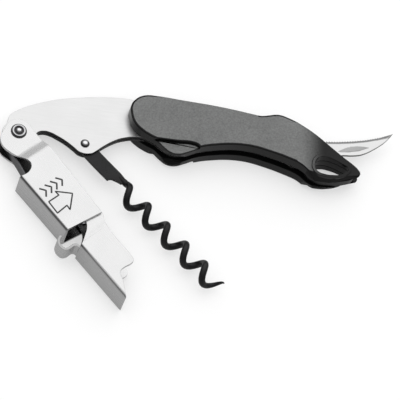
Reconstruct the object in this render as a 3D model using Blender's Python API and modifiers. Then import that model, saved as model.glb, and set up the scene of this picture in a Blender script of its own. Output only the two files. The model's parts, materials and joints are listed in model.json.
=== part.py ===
"""Waiter's lever corkscrew: two-step lever, worm and foil cutter on a steel frame with moulded scales.

Everything is laid out in the plane of the frame, with the lever's pivot at (0, 0), X towards the tail
and Y towards the back of the handle; Z is the thickness, from the face that the tool lies on upwards.
Outline points are in millimetres, all named sizes in metres. The finished tool is then moved so that
the origin is on the lower scale's flat face, under the middle of the grip.
"""

import math

import bmesh
import bpy
from mathutils import Matrix, Vector

MM = 0.001

# Fits
PLATE_GAP = 0.0002  # between plates that lie on each other
CORE_GAP = 0.0001  # between a core piece and the liner beside it
EDGE_GAP = 0.0003  # between pieces that meet edge to edge
PIN_GAP = 0.00005  # round a pin in its hole

# Stack of plates, from one face of the handle to the other
THICKNESS = 0.012
LINER = 0.0009
LINER_SPACE = 0.0014
BELLY_STEP = 0.0015  # depth of the step in each scale that the folded lever slides over
SCALE_ROUND = 0.0012
TAIL_CREASE = 0.72  # where along the grip each face starts to fall away
TAIL_DROP = 0.78  # how much of the scale's thickness it has lost at the end
TAIL_CHAMFER_LEAN = -30
TAIL_CHAMFER_FOOT = 0.0013  # from the middle plane to where each cut starts
TAIL_CHAMFERS = ((0.86, -3.9, 0), (0.95, -1.8, 20))  # fraction, millimetres, heading of each cut
RIM_HEIGHT = 0.00035
RIM_WIDTH = 0.0011
RIM_ROOT = 0.25  # share of the scale that the rim reaches into

# Handle
NOSE_RADIUS = 0.0055
GRIP_START = 0.0384
GRIP_END = 0.1216
REST_POINT = (0.070, 0.011)

# Lever, both halves; lengths are from the lever's pivot
LEVER_ANGLE = math.radians(-47)
UPPER_LENGTH = 0.0405
UPPER_DEPTH = 0.0120  # from the pivot's line to the outside of the web
UPPER_WIDTH = 0.0118
UPPER_SHEET = 0.0010
EYE_RADIUS = 0.0048
EYE_WIDTH = 0.0066
HINGE_REACH = 0.0371
LOWER_LENGTH = 0.0334  # from the hinge to the tip of the claw
LOWER_DEPTH = UPPER_DEPTH - 0.0005
LOWER_WIDTH = 0.0113
LOWER_SHEET = 0.00095
TAB_WIDTH = 0.0066
LEAF_WIDTH = 0.0040
LEAF_SHEET = 0.0005

# Pins
LEVER_PIN = 0.0020
LEVER_HEAD = 0.0028
WORM_PIN = 0.0012
WORM_HEAD = 0.0016
BLADE_PIN = 0.0012
RIVET = 0.0011
STUD = 0.0015
STUD_HEAD = 0.0021
STUD_HEAD_DEPTH = 0.0005
STUD_SKIN = 0.0003  # left over the blind hole that each stud is pressed into
WASHER = 0.0034

# Worm
WORM_PIVOT = (0.0235, -0.0005)
WORM_ANGLE = math.radians(-43.6)
WORM_CLOSED = math.radians(-4)
WORM_BOSS = 0.0027
SHANK_WIDTH = 0.0054
SHANK_SHEET = 0.0012
WIRE = 0.0024
HELIX_RADIUS = 0.00265
HELIX_DROP = 0.0014  # from the pivot down to the axis of the helix
HELIX_START = 0.0210
PITCH = 0.00945
TURNS = 5.1

# Foil cutter
BLADE_FRACTION = 0.776  # where its pivot is along the grip
BLADE_PIVOT_Y = 0.0069
BLADE_ANGLE = math.radians(23.3)
BLADE_SHEET = 0.0010
BLADE_BOSS = 0.0027
NICK = [(11.7, -1.5), (14.0, -0.7), (16.2, -0.5), (18.1, -0.6), (20.1, -1.1), (22.1, -2.0), (23.7, -3.0),
        (21.3, -3.1), (17.4, -2.7), (13.8, -2.0)]
TOOTH = 0.0010

MID = THICKNESS / 2
CORE = LINER_SPACE - 2 * CORE_GAP
FRAME = LINER_SPACE + 2 * LINER
SCALE_TOP = THICKNESS
SCALE_FOOT = MID + FRAME / 2 + PLATE_GAP


# ---------------------------------------------------------------- collections, materials, placing


def clear_scene():
    for obj in list(bpy.data.objects):
        bpy.data.objects.remove(obj)


def new_collection(name):
    collection = bpy.data.collections.new(name)
    bpy.context.scene.collection.children.link(collection)
    return collection


def material(name, color, roughness, metallic):
    made = bpy.data.materials.new(name)
    made.use_nodes = True
    shader = made.node_tree.nodes["Principled BSDF"]
    shader.inputs["Base Color"].default_value = (*color, 1)
    shader.inputs["Roughness"].default_value = roughness
    shader.inputs["Metallic"].default_value = metallic
    return made


FINISHES = {
    "satin_steel": ((0.80, 0.80, 0.80), 0.32, 1.0),
    "polished_steel": ((0.85, 0.85, 0.86), 0.15, 1.0),
    "spring_steel": ((0.35, 0.35, 0.36), 0.35, 1.0),
    "black_coating": ((0.012, 0.012, 0.013), 0.30, 0.0),
    "moulded_grip": ((0.10, 0.10, 0.10), 0.50, 0.0),
}


def finish(obj, kind):
    obj.data.materials.clear()
    obj.data.materials.append(material(f"{obj.name}_{kind}", *FINISHES[kind]))
    obj.data.shade_smooth()
    obj.data.set_sharp_from_angle(angle=math.radians(30))


def pivot_empty(name, spot, angle=0.0, parent=None):
    empty = bpy.data.objects.new(name, None)
    empty.empty_display_size = 0.004
    empty.location = (*spot, 0)
    empty.rotation_euler.z = angle
    empty.parent = parent
    PARTS.objects.link(empty)
    return empty


# ---------------------------------------------------------------- shapes


def mesh_object(name, bm):
    bmesh.ops.recalc_face_normals(bm, faces=bm.faces)
    mesh = bpy.data.meshes.new(name)
    bm.to_mesh(mesh)
    bm.free()
    obj = bpy.data.objects.new(name, mesh)
    PARTS.objects.link(obj)
    return obj


def curve_to_mesh(curve):
    """The curve object as a mesh with its caps welded on, in place of the curve."""
    PARTS.objects.link(curve)
    graph = bpy.context.evaluated_depsgraph_get()
    evaluated = bpy.data.meshes.new_from_object(curve.evaluated_get(graph))
    bm = bmesh.new()
    bm.from_mesh(evaluated)
    bmesh.ops.remove_doubles(bm, verts=bm.verts, dist=1e-7)
    name = curve.name
    bpy.data.objects.remove(curve)
    return name, bm


def add_loop(data, points):
    """A closed outline in millimetres. A point is smooth unless a third value marks it as a corner."""
    spline = data.splines.new("BEZIER")
    spline.bezier_points.add(len(points) - 1)
    spline.use_cyclic_u = True
    for knot, (x, y, *corner) in zip(spline.bezier_points, points):
        knot.co = (x * MM, y * MM, 0)
        knot.handle_left_type = knot.handle_right_type = "VECTOR" if corner else "AUTO"


def plate(name, loops, low, high, steps=4):
    """A flat piece from low to high. The first loop is its outline and the others are holes."""
    data = bpy.data.curves.new(name, "CURVE")
    data.dimensions = "2D"
    data.fill_mode = "BOTH"
    data.extrude = (high - low) / 2
    data.resolution_u = steps
    for loop in loops:
        add_loop(data, loop)
    name, bm = curve_to_mesh(bpy.data.objects.new(name, data))
    bmesh.ops.translate(bm, verts=bm.verts, vec=(0, 0, (low + high) / 2))
    bmesh.ops.dissolve_limit(bm, angle_limit=0.001, verts=bm.verts, edges=bm.edges)
    return mesh_object(name, bm)


def prism(name, corners, low, high, turn, round_at=None, round_by=0.0):
    """A polygon of metres swept from low to high, then turned; edges all at round_at are rounded first."""
    bm = bmesh.new()
    face = bm.faces.new([bm.verts.new((x, y, low)) for x, y in corners])
    top = bmesh.ops.extrude_face_region(bm, geom=[face])
    raised = [item for item in top["geom"] if isinstance(item, bmesh.types.BMVert)]
    bmesh.ops.translate(bm, verts=raised, vec=(0, 0, high - low))
    if round_by:
        rim = [edge for edge in bm.edges if edge_rounds(edge, round_at)]
        bmesh.ops.bevel(bm, geom=rim, offset=round_by, segments=4, profile=0.5, affect="EDGES")
    bmesh.ops.transform(bm, matrix=turn, verts=bm.verts)
    return mesh_object(name, bm)


def edge_rounds(edge, height):
    """Whether the edge runs along the sweep's end at this height and bounds its long sides."""
    ends = [vert.co for vert in edge.verts]
    level = all(abs(co.z - height) < 1e-7 for co in ends)
    return level and abs(ends[0].x - ends[1].x) > 1e-7


def turned(name, profile, spot, steps=20):
    """A body of revolution about Z at the spot. The profile is (radius, height), down its outer side."""
    bm = bmesh.new()
    verts = [bm.verts.new((radius, 0, height)) for radius, height in profile]
    for first, second in zip(verts, verts[1:]):
        bm.edges.new((first, second))
    mesh = bpy.data.meshes.new(name)
    bm.to_mesh(mesh)
    bm.free()
    obj = bpy.data.objects.new(name, mesh)
    PARTS.objects.link(obj)
    obj.location = (*spot, 0)
    screw = obj.modifiers.new("Turn", "SCREW")
    screw.steps = screw.render_steps = steps
    screw.use_merge_vertices = True
    screw.merge_threshold = 1e-6
    return obj


def ring_points(radius, spot=(0, 0), count=6):
    """Outline points of a circle, in millimetres."""
    steps = [2 * math.pi * step / count for step in range(count)]
    return [
        ((spot[0] + radius * math.cos(a)) / MM, (spot[1] + radius * math.sin(a)) / MM) for a in steps
    ]


def smooth_path(points, steps=4):
    """A Catmull-Rom curve through the points, as a list of vectors."""
    knots = [Vector(point) for point in points]
    knots = [2 * knots[0] - knots[1], *knots, 2 * knots[-1] - knots[-2]]
    path = []
    for a, b, c, d in zip(knots, knots[1:], knots[2:], knots[3:]):
        for step in range(steps):
            t = step / steps
            path.append(
                0.5 * (2 * b + (c - a) * t + (2 * a - 5 * b + 4 * c - d) * t**2)
                + 0.5 * (3 * b - a - 3 * c + d) * t**3
            )
    return [*path, knots[-2]]


def ribbon(points, sheet):
    """The closed outline of a bent strip, seen on edge, with square ends."""
    path = smooth_path(points)
    left, right = [], []
    for index, spot in enumerate(path):
        before, after = path[max(index - 1, 0)], path[min(index + 1, len(path) - 1)]
        side = (after - before).normalized().orthogonal() * (sheet / MM / 2)
        left.append((*(spot + side), "corner"))
        right.append((*(spot - side), "corner"))
    return left + right[::-1]


def boolean(obj, other, operation="DIFFERENCE"):
    """Cuts with, joins or keeps what is inside the other object, which becomes a hidden helper."""
    modifier = obj.modifiers.new(other.name, "BOOLEAN")
    modifier.operation = operation
    modifier.solver = "EXACT"
    modifier.object = other
    PARTS.objects.unlink(other)
    CUTTERS.objects.link(other)
    other.parent = obj
    other.hide_render = True
    other.display_type = "WIRE"
    return obj


def cylinder(name, radius, low, high, spot, steps=32):
    bm = bmesh.new()
    bmesh.ops.create_cone(
        bm, cap_ends=True, segments=steps, radius1=radius, radius2=radius, depth=high - low
    )
    bmesh.ops.translate(bm, verts=bm.verts, vec=(*spot, (low + high) / 2))
    return mesh_object(name, bm)


# ---------------------------------------------------------------- outlines


def along(fraction):
    """Millimetres from the lever's pivot to a place along the grip."""
    return (GRIP_START + fraction * (GRIP_END - GRIP_START)) / MM


BLADE_PIVOT = (along(BLADE_FRACTION) * MM, BLADE_PIVOT_Y)


def grip_outline():
    top = [
        (0.055, 19.5), (0.11, 19.9), (0.21, 19.6), (0.35, 19.15), (0.45, 18.5), (0.525, 17.8),
        (0.56, 17.6), (0.593, 18.2), (0.624, 18.9), (0.648, 18.9), (0.684, 18.05), (0.722, 16.8),
        (0.80, 13.7), (0.87, 9.9), (0.935, 6.4), (0.970, 4.7), (0.996, 3.0),
    ]
    tail = [(1.006, 1.6), (1.001, 0.4), (0.978, -0.7), (0.935, -2.0), (0.89, -3.2), (0.835, -3.9),
            (0.795, -3.1)]
    bottom = [
        (0.74, 0.1), (0.68, 1.9), (0.605, 3.5), (0.54, 4.5), (0.49, 4.7), (0.43, 4.3), (0.38, 3.5),
        (0.34, 2.7), (0.295, 1.4), (0.255, -0.3), (0.215, -1.6), (0.18, -1.4), (0.147, 0.4),
        (0.118, 2.5), (0.087, 3.6), (0.054, 5.1),
    ]
    front = [(0.019, 7.8), (0.0015, 11.4), (0.0, 14.9), (0.02, 17.7)]
    return [(along(f), y) for f, y in top + tail + bottom + front]


def ring_hole():
    points = [
        (0.798, 1.3), (0.812, 4.0), (0.853, 5.1), (0.888, 4.6), (0.921, 3.6), (0.950, 2.1),
        (0.935, 0.3), (0.912, -0.9), (0.878, -1.6), (0.843, -1.8), (0.813, -1.3), (0.800, -0.1),
    ]
    return [(along(f), y) for f, y in points]


def grown(points, by):
    """The closed outline moved outwards by this many metres, for an outline drawn clockwise."""
    made = []
    for index, (x, y, *_) in enumerate(points):
        before, after = points[index - 1], points[(index + 1) % len(points)]
        side = Vector((before[1] - after[1], after[0] - before[0])).normalized() * by / MM
        made.append((x + side.x, y + side.y))
    return made


def liner_outline():
    frame_top = [(0.3, 9.9), (5.0, 12.4), (9.2, 14.2), (14.6, 16.0), (20.4, 17.4), (27.2, 18.7),
                 (33.0, 19.4), (38.5, 19.6)]
    inner_top = [(0.055, 18.6), (0.21, 18.6), (0.35, 18.1), (0.45, 17.4), (0.56, 16.5),
                 (0.62, 17.4), (0.65, 17.4), (0.70, 16.0), (0.80, 11.0), (0.83, 8.6)]
    inner_bottom = [(0.825, 6.6), (0.795, 5.6), (0.765, 3.7), (0.738, 1.9), (0.68, 3.4), (0.60, 5.0),
                    (0.49, 6.1), (0.40, 5.1), (0.30, 2.7), (0.25, 0.9), (0.19, 0.4), (0.15, 1.7),
                    (0.115, 3.7), (0.06, 5.0)]
    frame_bottom = [(36.7, 3.7), (33.1, 1.8), (29.6, -0.9), (27.3, -3.0), (25.9, -4.0),
                    (22.1, -4.1), (19.5, -2.3), (16.9, -0.5), (13.6, 1.2), (11.4, 2.1), (8.9, 2.4),
                    (6.6, 1.4)]
    radius = NOSE_RADIUS / MM
    nose = [(radius * math.cos(a), radius * math.sin(a))
            for a in (math.radians(step) for step in range(-20, -221, -25))]
    return (frame_top + [(along(f), y) for f, y in inner_top + inner_bottom]
            + frame_bottom + nose + [(-3.2, 7.0)])


def thumb_tab_path():
    """Centre line of the tab that curls up and over from the top of the lower web."""
    depth = (LOWER_DEPTH - LOWER_SHEET / 2) / MM
    path = [(12.5, 0), (9.2, 0), (8.0, 0.4), (7.45, 1.3), (7.4, 2.4), (7.4, 3.6), (6.9, 4.7),
            (5.7, 5.2), (4.3, 5.1), (3.1, 4.4), (2.4, 3.2), (2.3, 2.5)]
    return [(x, -depth - rise) for x, rise in path]


# ---------------------------------------------------------------- frame and grip


def make_liner(name, low):
    holes = [
        ring_points(LEVER_PIN + PIN_GAP),
        ring_points(WORM_PIN + PIN_GAP, WORM_PIVOT),
        ring_points(BLADE_PIN + PIN_GAP, BLADE_PIVOT),
    ]
    holes += [ring_points(RIVET + PIN_GAP, spot) for spot in RIVET_SPOTS + PEG_SPOTS]
    liner = plate(name, [liner_outline(), *holes], low, low + LINER)
    finish(liner, "satin_steel")
    return liner


def core_piece(name, outline, pins, kind="spring_steel"):
    holes = [ring_points(radius + PIN_GAP, spot) for radius, spot in pins]
    piece = plate(name, [outline, *holes], MID - CORE / 2, MID + CORE / 2)
    finish(piece, kind)
    return piece


def make_nose_spacer():
    radius = (NOSE_RADIUS - EDGE_GAP) / MM
    nose = [(radius * math.cos(a), radius * math.sin(a))
            for a in (math.radians(step) for step in range(-10, -216, -20))]
    outline = nose + [(-2.4, 6.4), (0.9, 9.2), (5.0, 11.5), (9.0, 13.2), (11.6, 14.2, 1),
                      (11.8, 9.0), (11.6, 3.0, 1), (8.9, 3.1)]
    return core_piece("nose_spacer", outline, [(LEVER_PIN, (0, 0))])


def make_worm_backspring():
    boss = WORM_PIVOT[1] / MM + (WORM_BOSS + EDGE_GAP) / MM
    x = WORM_PIVOT[0] / MM
    outline = [(12.3, 14.0, 1), (20.0, 16.5), (30.0, 18.3), (40.0, 18.6), (60.0, 17.6, 1),
               (60.0, 14.6, 1), (45.0, 14.6), (34.0, 13.4), (x + 4.5, 9.0), (x + 2.3, boss + 0.5, 1),
               (x - 2.3, boss + 0.5, 1), (x - 4.5, 8.0), (17.5, 11.0), (12.3, 10.0, 1)]
    return core_piece("worm_backspring", outline, [(RIVET, RIVET_SPOTS[0])])


def make_blade_backspring():
    outline = [(0.275, 15.4, 1), (0.36, 12.0), (0.475, 9.4), (0.57, 7.6), (0.63, 5.5, 1),
               (0.60, 5.4), (0.49, 6.4), (0.41, 5.6), (0.345, 5.2, 1), (0.275, 7.5, 1)]
    points = [(along(f), *rest) for f, *rest in outline]
    pins = [(RIVET, RIVET_SPOTS[1]), (RIVET, PEG_SPOTS[1])]
    return core_piece("blade_backspring", points, pins)


def make_tail_spacer():
    """Moulded block that closes the tail round the key-ring hole, below the folded blade."""
    outline = [(0.786, 1.5), (0.799, 3.5), (0.822, 4.9), (0.858, 5.6), (0.91, 4.9), (0.945, 3.6),
               (0.972, 2.0), (0.984, 0.6), (0.975, -0.6), (0.94, -1.9), (0.89, -2.8), (0.835, -3.0),
               (0.80, -2.2), (0.775, -0.6), (0.77, 0.6)]
    points = [(along(f), y) for f, y in outline]
    half = FRAME / 2
    spacer = plate("tail_spacer", [points, ring_hole()], MID - half, MID + half)
    finish(spacer, "black_coating")
    return spacer


def tail_drop(x):
    """How far each face has fallen away at this distance from the lever's pivot."""
    crease, end = along(TAIL_CREASE) * MM, GRIP_END
    return TAIL_DROP * (SCALE_TOP - SCALE_FOOT) * max(0.0, x - crease) / (end - crease)


def shape_scale(bm):
    """Lets the outer face fall away at the tail, then rounds its rim."""
    crease = along(TAIL_CREASE) * MM
    bmesh.ops.bisect_plane(
        bm, geom=[*bm.verts, *bm.edges, *bm.faces], plane_co=(crease, 0, 0), plane_no=(1, 0, 0)
    )
    outer = [vert for vert in bm.verts if abs(vert.co.z - SCALE_TOP) < 1e-7]
    for vert in outer:
        vert.co.z -= tail_drop(vert.co.x)
    on_face = set(outer)
    rim = [
        edge for edge in bm.edges
        if set(edge.verts) <= on_face and edge.calc_face_angle(0) > math.radians(45)
    ]
    bmesh.ops.bevel(bm, geom=rim, offset=SCALE_ROUND, segments=4, profile=0.5, affect="EDGES",
                    clamp_overlap=True)


def cut_tail_chamfers(scale):
    """Takes the lower outer corner off the tail, which is thinner along its edge."""
    lean = Matrix.Rotation(math.radians(TAIL_CHAMFER_LEAN), 4, "X")
    for number, (fraction, y, heading) in enumerate(TAIL_CHAMFERS):
        bm = bmesh.new()
        bmesh.ops.create_cube(bm, size=1)
        bmesh.ops.scale(bm, vec=(0.06, 0.02, 0.02), verts=bm.verts)
        bmesh.ops.translate(bm, verts=bm.verts, vec=(0, -0.01, 0.01))
        spot = Matrix.Translation((along(fraction) * MM, y * MM, MID + TAIL_CHAMFER_FOOT))
        turn = Matrix.Rotation(math.radians(heading), 4, "Z")
        bmesh.ops.transform(bm, matrix=spot @ turn @ lean, verts=bm.verts)
        boolean(scale, mesh_object(f"tail_chamfer_cut_{number}", bm))


def cut_ring_hole(scale):
    hole = plate("ring_hole_cut", [ring_hole()], 0, 2 * THICKNESS)
    boolean(scale, hole)


def add_ring_rim(scale):
    """Raised lip round the key-ring hole, tilted with the face that it stands on."""
    outlines = [grown(ring_hole(), RIM_WIDTH), ring_hole()]
    rim = plate("ring_rim", outlines, -RIM_ROOT * (SCALE_TOP - SCALE_FOOT), RIM_HEIGHT)
    for vert in rim.data.vertices:
        vert.co.z += SCALE_TOP - tail_drop(vert.co.x)
    boolean(scale, rim, "UNION")


def cut_belly_step(scale):
    """Step that the folded lower lever's shoulders slide over."""
    front, back = along(0.043), along(0.308)
    outline = [(front, 3.1, 1), (front + 13, 3.0), (back - 2.5, 3.1), (back - 0.8, 2.2),
               (back - 0.4, 0.5), (back, -6.0, 1), (front, -6.0, 1)]
    floor = SCALE_TOP - BELLY_STEP
    boolean(scale, plate("belly_step_cut", [outline], floor, 2 * THICKNESS))


def cut_worm_groove(scale):
    """Trough for the folded worm, which lies along the belly."""
    radius = HELIX_RADIUS + WIRE / 2 + EDGE_GAP
    reach = HELIX_START + (TURNS + 0.6) * PITCH
    bm = bmesh.new()
    bmesh.ops.create_cone(
        bm, cap_ends=True, segments=40, radius1=radius, radius2=radius, depth=2 * reach
    )
    lie = Matrix.Rotation(WORM_CLOSED, 4, "Z") @ Matrix.Rotation(math.pi / 2, 4, "Y")
    spot = Matrix.Translation((WORM_PIVOT[0], WORM_PIVOT[1] - HELIX_DROP, MID))
    bmesh.ops.transform(bm, matrix=spot @ lie, verts=bm.verts)
    boolean(scale, mesh_object("worm_groove_cut", bm))


def mirror_through_middle(obj):
    """Turns the piece over to the other face of the handle."""
    for helper in [obj, *obj.children]:
        helper.data.transform(Matrix.Translation((0, 0, THICKNESS)) @ Matrix.Scale(-1, 4, (0, 0, 1)))
        helper.data.flip_normals()


def make_scale(name, flipped):
    blank = plate(name, [grip_outline()], SCALE_FOOT, SCALE_TOP, steps=5)
    bm = bmesh.new()
    bm.from_mesh(blank.data)
    shape_scale(bm)
    bmesh.ops.recalc_face_normals(bm, faces=bm.faces)
    bm.to_mesh(blank.data)
    bm.free()
    cut_tail_chamfers(blank)
    add_ring_rim(blank)
    cut_ring_hole(blank)
    cut_belly_step(blank)
    cut_worm_groove(blank)
    for spot in PEG_SPOTS:
        boolean(blank, cylinder("peg_cut", RIVET + PIN_GAP, MID, PEG_TOP + PLATE_GAP, spot, 16))
    if flipped:
        mirror_through_middle(blank)
    finish(blank, "moulded_grip")
    return blank


PEG_TOP = MID + FRAME / 2 + 0.0025
RIVET_SPOTS = [(0.050, 0.0163), (along(0.31) * MM, 0.0100)]
PEG_SPOTS = [(0.0515, 0.0085), (along(0.435) * MM, 0.0078)]


def make_frame_pins():
    pins = []
    for name, spot in zip(("frame_rivet_front", "frame_rivet_rear"), RIVET_SPOTS):
        pins.append(cylinder(name, RIVET, MID - FRAME / 2, MID + FRAME / 2, spot, 16))
    for name, spot in zip(("grip_peg_front", "grip_peg_rear"), PEG_SPOTS):
        pins.append(cylinder(name, RIVET, THICKNESS - PEG_TOP, PEG_TOP, spot, 16))
    pins.append(cylinder("blade_pivot_pin", BLADE_PIN, MID - FRAME / 2, MID + FRAME / 2, BLADE_PIVOT, 24))
    for pin in pins:
        finish(pin, "polished_steel")
    return pins


def domed_rivet(name, pin, half, head_points, spot):
    """A pin with the same head at both ends; head_points are (radius, height above the face)."""
    face = half + CORE_GAP / 2
    upper = [(radius, MID + face + height) for radius, height in head_points]
    lower = [(radius, 2 * MID - height) for radius, height in reversed(upper)]
    profile = [*upper, (pin, MID + face), (pin, MID - face), *lower]
    rivet = turned(name, profile, spot)
    finish(rivet, "polished_steel")
    return rivet


def make_lever_rivet():
    head = [(0, 0.00115), (0.0006, 0.00108), (0.0010, 0.00082), (0.00115, 0.00045), (0.0015, 0.00042),
            (0.0018, 0.00068), (0.0022, 0.00070), (LEVER_HEAD - 0.0002, 0.00050),
            (LEVER_HEAD, 0.00025), (LEVER_HEAD, 0)]
    return domed_rivet("lever_pivot_rivet", LEVER_PIN, EYE_WIDTH / 2, head, (0, 0))


def make_worm_rivet():
    arc = [math.radians(step) for step in (90, 70, 50, 30, 12)]
    head = [(WORM_HEAD * math.cos(a) if a < 1.5 else 0, 0.0008 * math.sin(a)) for a in arc]
    return domed_rivet("worm_pivot_rivet", WORM_PIN, FRAME / 2, [*head, (WORM_HEAD, 0)], WORM_PIVOT)


def make_washers():
    room = (EYE_WIDTH / 2 - UPPER_SHEET) - FRAME / 2
    washers = []
    for name, side in (("lever_washer_upper", 1), ("lever_washer_lower", -1)):
        middle = MID + side * (FRAME / 2 + room / 2)
        half = room / 2 - CORE_GAP / 2
        rings = [ring_points(WASHER), ring_points(LEVER_PIN + PIN_GAP)]
        washer = plate(name, rings, middle - half, middle + half)
        finish(washer, "polished_steel")
        washers.append(washer)
    return washers


# ---------------------------------------------------------------- lever


def width_profile(stations):
    """A closed outline in length and thickness that is symmetric about the middle plane."""
    upper = [(x, MID + half) for x, half in stations]
    return upper + [(x, THICKNESS - z) for x, z in reversed(upper)]


def joggle(start, end, near, far, low, high):
    """Half-widths along a channel that eases from one width to another between start and end."""
    steps = [step / 6 for step in range(7)]
    ease = [(start + t * (end - start), near + (far - near) * (3 * t**2 - 2 * t**3)) for t in steps]
    return [(low, near), *ease, (high, far)]


def channel(name, side_outline, stations, sheet, depth, bend):
    """A folded U-channel: its outside, kept within the side outline, less its inside."""
    long = 0.1
    lay = Matrix.Rotation(math.pi / 2, 4, "X")
    outside = prism(name, width_profile(stations), -long, depth, lay, depth, bend)
    inner = [(x, half - sheet) for x, half in stations]
    inner[0] = (inner[0][0] - long, inner[0][1])
    inner[-1] = (inner[-1][0] + long, inner[-1][1])
    hollow = prism(f"{name}_hollow", width_profile(inner), -2 * long, depth - sheet, lay,
                   depth - sheet, bend * 0.45)
    boolean(outside, plate(f"{name}_side", [side_outline], -THICKNESS, 2 * THICKNESS), "INTERSECT")
    boolean(outside, hollow)
    return outside


def upper_side():
    length, depth = UPPER_LENGTH / MM, UPPER_DEPTH / MM
    eye = EYE_RADIUS / MM
    arc = [(eye * math.cos(a), eye * math.sin(a))
           for a in (math.radians(step) for step in range(85, 216, 26))]
    return [(length + 0.8, 2.5, 1), (3.2, 4.55), *arc, (-2.2, -6.3), (0.8, -8.1), (4.3, -7.7),
            (8.0, -6.4), (10.8, -5.6), (13.2, -5.8), (14.6, -7.4), (15.0, -9.4),
            (14.6, -depth + 0.4, 1), (14.6, -depth - 1, 1), (length - 1.1, -depth - 1, 1)]


def make_upper_lever():
    stations = joggle(0.006, 0.0125, EYE_WIDTH / 2, UPPER_WIDTH / 2, -0.02, 0.06)
    lever = channel("upper_lever", upper_side(), stations, UPPER_SHEET, UPPER_DEPTH, 0.0011)
    boolean(lever, cylinder("lever_pin_cut", LEVER_PIN + PIN_GAP, -THICKNESS, 2 * THICKNESS, (0, 0)))
    reach = UPPER_WIDTH / 2 - STUD_SKIN
    spot = (HINGE_REACH, 0)
    boolean(lever, cylinder("stud_cut", STUD + PIN_GAP, MID - reach, MID + reach, spot))
    finish(lever, "satin_steel")
    return lever


def make_lever_leaf():
    """Leaf inside the upper lever, from the web to just off the nose of the frame."""
    web = (UPPER_DEPTH - UPPER_SHEET - PLATE_GAP - LEAF_SHEET / 2) / MM
    nose = (NOSE_RADIUS + EDGE_GAP + LEAF_SHEET / 2) / MM
    path = [(31.0, -web), (25.0, -web), (20.0, -web + 0.9), (14.0, -8.3), (9.0, -7.3), (4.5, -6.7),
            (1.5, -nose - 0.15)]
    leaf = plate("lever_leaf_spring", [ribbon(path, LEAF_SHEET)], MID - LEAF_WIDTH / 2,
                 MID + LEAF_WIDTH / 2, steps=1)
    finish(leaf, "spring_steel")
    return leaf


def make_studs():
    studs = []
    outside = UPPER_WIDTH / 2 - STUD_SKIN - PIN_GAP
    inside = UPPER_WIDTH / 2 - 2 * UPPER_SHEET - 2 * PLATE_GAP
    head = inside - STUD_HEAD_DEPTH
    for name, side in (("hinge_stud_upper", 1), ("hinge_stud_lower", -1)):
        profile = [(0, outside), (STUD, outside), (STUD, inside), (STUD_HEAD, inside),
                   (STUD_HEAD, head), (0, head)]
        heights = [(radius, MID + side * height) for radius, height in profile]
        if side < 0:
            heights.reverse()
        stud = turned(name, heights, (HINGE_REACH, 0), 16)
        finish(stud, "polished_steel")
        studs.append(stud)
    return studs


def lower_side():
    """Side outline of the lower lever about its hinge: ear, shoulder, notch and claw tip."""
    tip, depth = LOWER_LENGTH / MM, LOWER_DEPTH / MM
    ear = [(3.3 * math.cos(a), 3.3 * math.sin(a))
           for a in (math.radians(step) for step in range(80, 281, 25))]
    return [*ear, (2.6, -3.6), (4.9, -4.6), (7.4, -7.8), (9.4, -depth + 0.5, 1), (9.4, -depth - 1, 1),
            (tip, -depth - 1, 1), (tip, -depth + 0.2, 1), (tip - 2.6, -depth + 1.8),
            (tip - 5.6, -depth + 3.5), (25.4, -7.2), (24.7, -6.3), (24.5, -4.6), (24.8, -1.2),
            (24.3, -0.1), (22.9, 0.35), (16.2, 0.35), (10.7, 0.6), (7.5, 1.35), (5.7, 2.4),
            (3.9, 3.0)]


def make_lower_lever():
    ear = UPPER_WIDTH / 2 - UPPER_SHEET - PLATE_GAP
    stations = joggle(0.0058, 0.0095, ear, LOWER_WIDTH / 2, -0.02, 0.06)
    lever = channel("lower_lever", lower_side(), stations, LOWER_SHEET, LOWER_DEPTH, 0.0010)
    path = thumb_tab_path()
    half = TAB_WIDTH / 2
    tab = plate("thumb_tab", [ribbon(path, LOWER_SHEET * 0.98)], MID - half, MID + half, steps=1)
    boolean(lever, tab, "UNION")
    boolean(lever, cylinder("stud_cut", STUD + PIN_GAP, -THICKNESS, 2 * THICKNESS, (0, 0)))
    finish(lever, "satin_steel")
    return lever


# ---------------------------------------------------------------- worm and blade


def shank_outline():
    right = SHANK_WIDTH / 2 / MM - 0.3
    left = -SHANK_WIDTH / 2 / MM - 0.3
    boss = WORM_BOSS / MM
    arc = [(boss * math.cos(a), boss * math.sin(a))
           for a in (math.radians(step) for step in range(100, 261, 32))]
    return [(16.2, right, 1), (4.5, right), *arc, (4.5, left), (14.9, left, 1), (15.3, -1.9),
            (16.6, -1.1), (19.0, -0.2, 1), (19.6, 2.0, 1)]


def wire_path():
    """Lead-in along the shank, the helix, then the point; each as (place, share of the wire's radius)."""
    axis, radius = -HELIX_DROP, HELIX_RADIUS
    start = Vector((HELIX_START, axis + radius, 0))
    path = [(start - Vector((back, side, 0)), size)
            for back, side, size in ((0.0068, 0.0003, 0.42), (0.0045, 0.0002, 0.65),
                                     (0.0024, 0.00005, 0.92), (0.0009, 0, 1.0))]
    per_turn = 12
    count = round(TURNS * per_turn)
    for step in range(count + 1):
        turn = 2 * math.pi * step / per_turn
        left = (count - step) / per_turn
        size = min(1.0, 0.15 + 1.35 * left**0.75)
        place = (HELIX_START + PITCH * step / per_turn,
                 axis + radius * math.cos(turn), radius * math.sin(turn))
        path.append((Vector(place), size))
    return path


def make_wire():
    data = bpy.data.curves.new("worm_wire", "CURVE")
    data.dimensions = "3D"
    data.bevel_depth = WIRE / 2
    data.bevel_resolution = 2
    data.use_fill_caps = True
    path = wire_path()
    spline = data.splines.new("POLY")
    spline.points.add(len(path) - 1)
    for point, (place, size) in zip(spline.points, path):
        point.co = (*place, 1)
        point.radius = size
    name, bm = curve_to_mesh(bpy.data.objects.new("worm_wire", data))
    bmesh.ops.translate(bm, verts=bm.verts, vec=(0, 0, MID))
    return mesh_object(name, bm)


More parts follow.
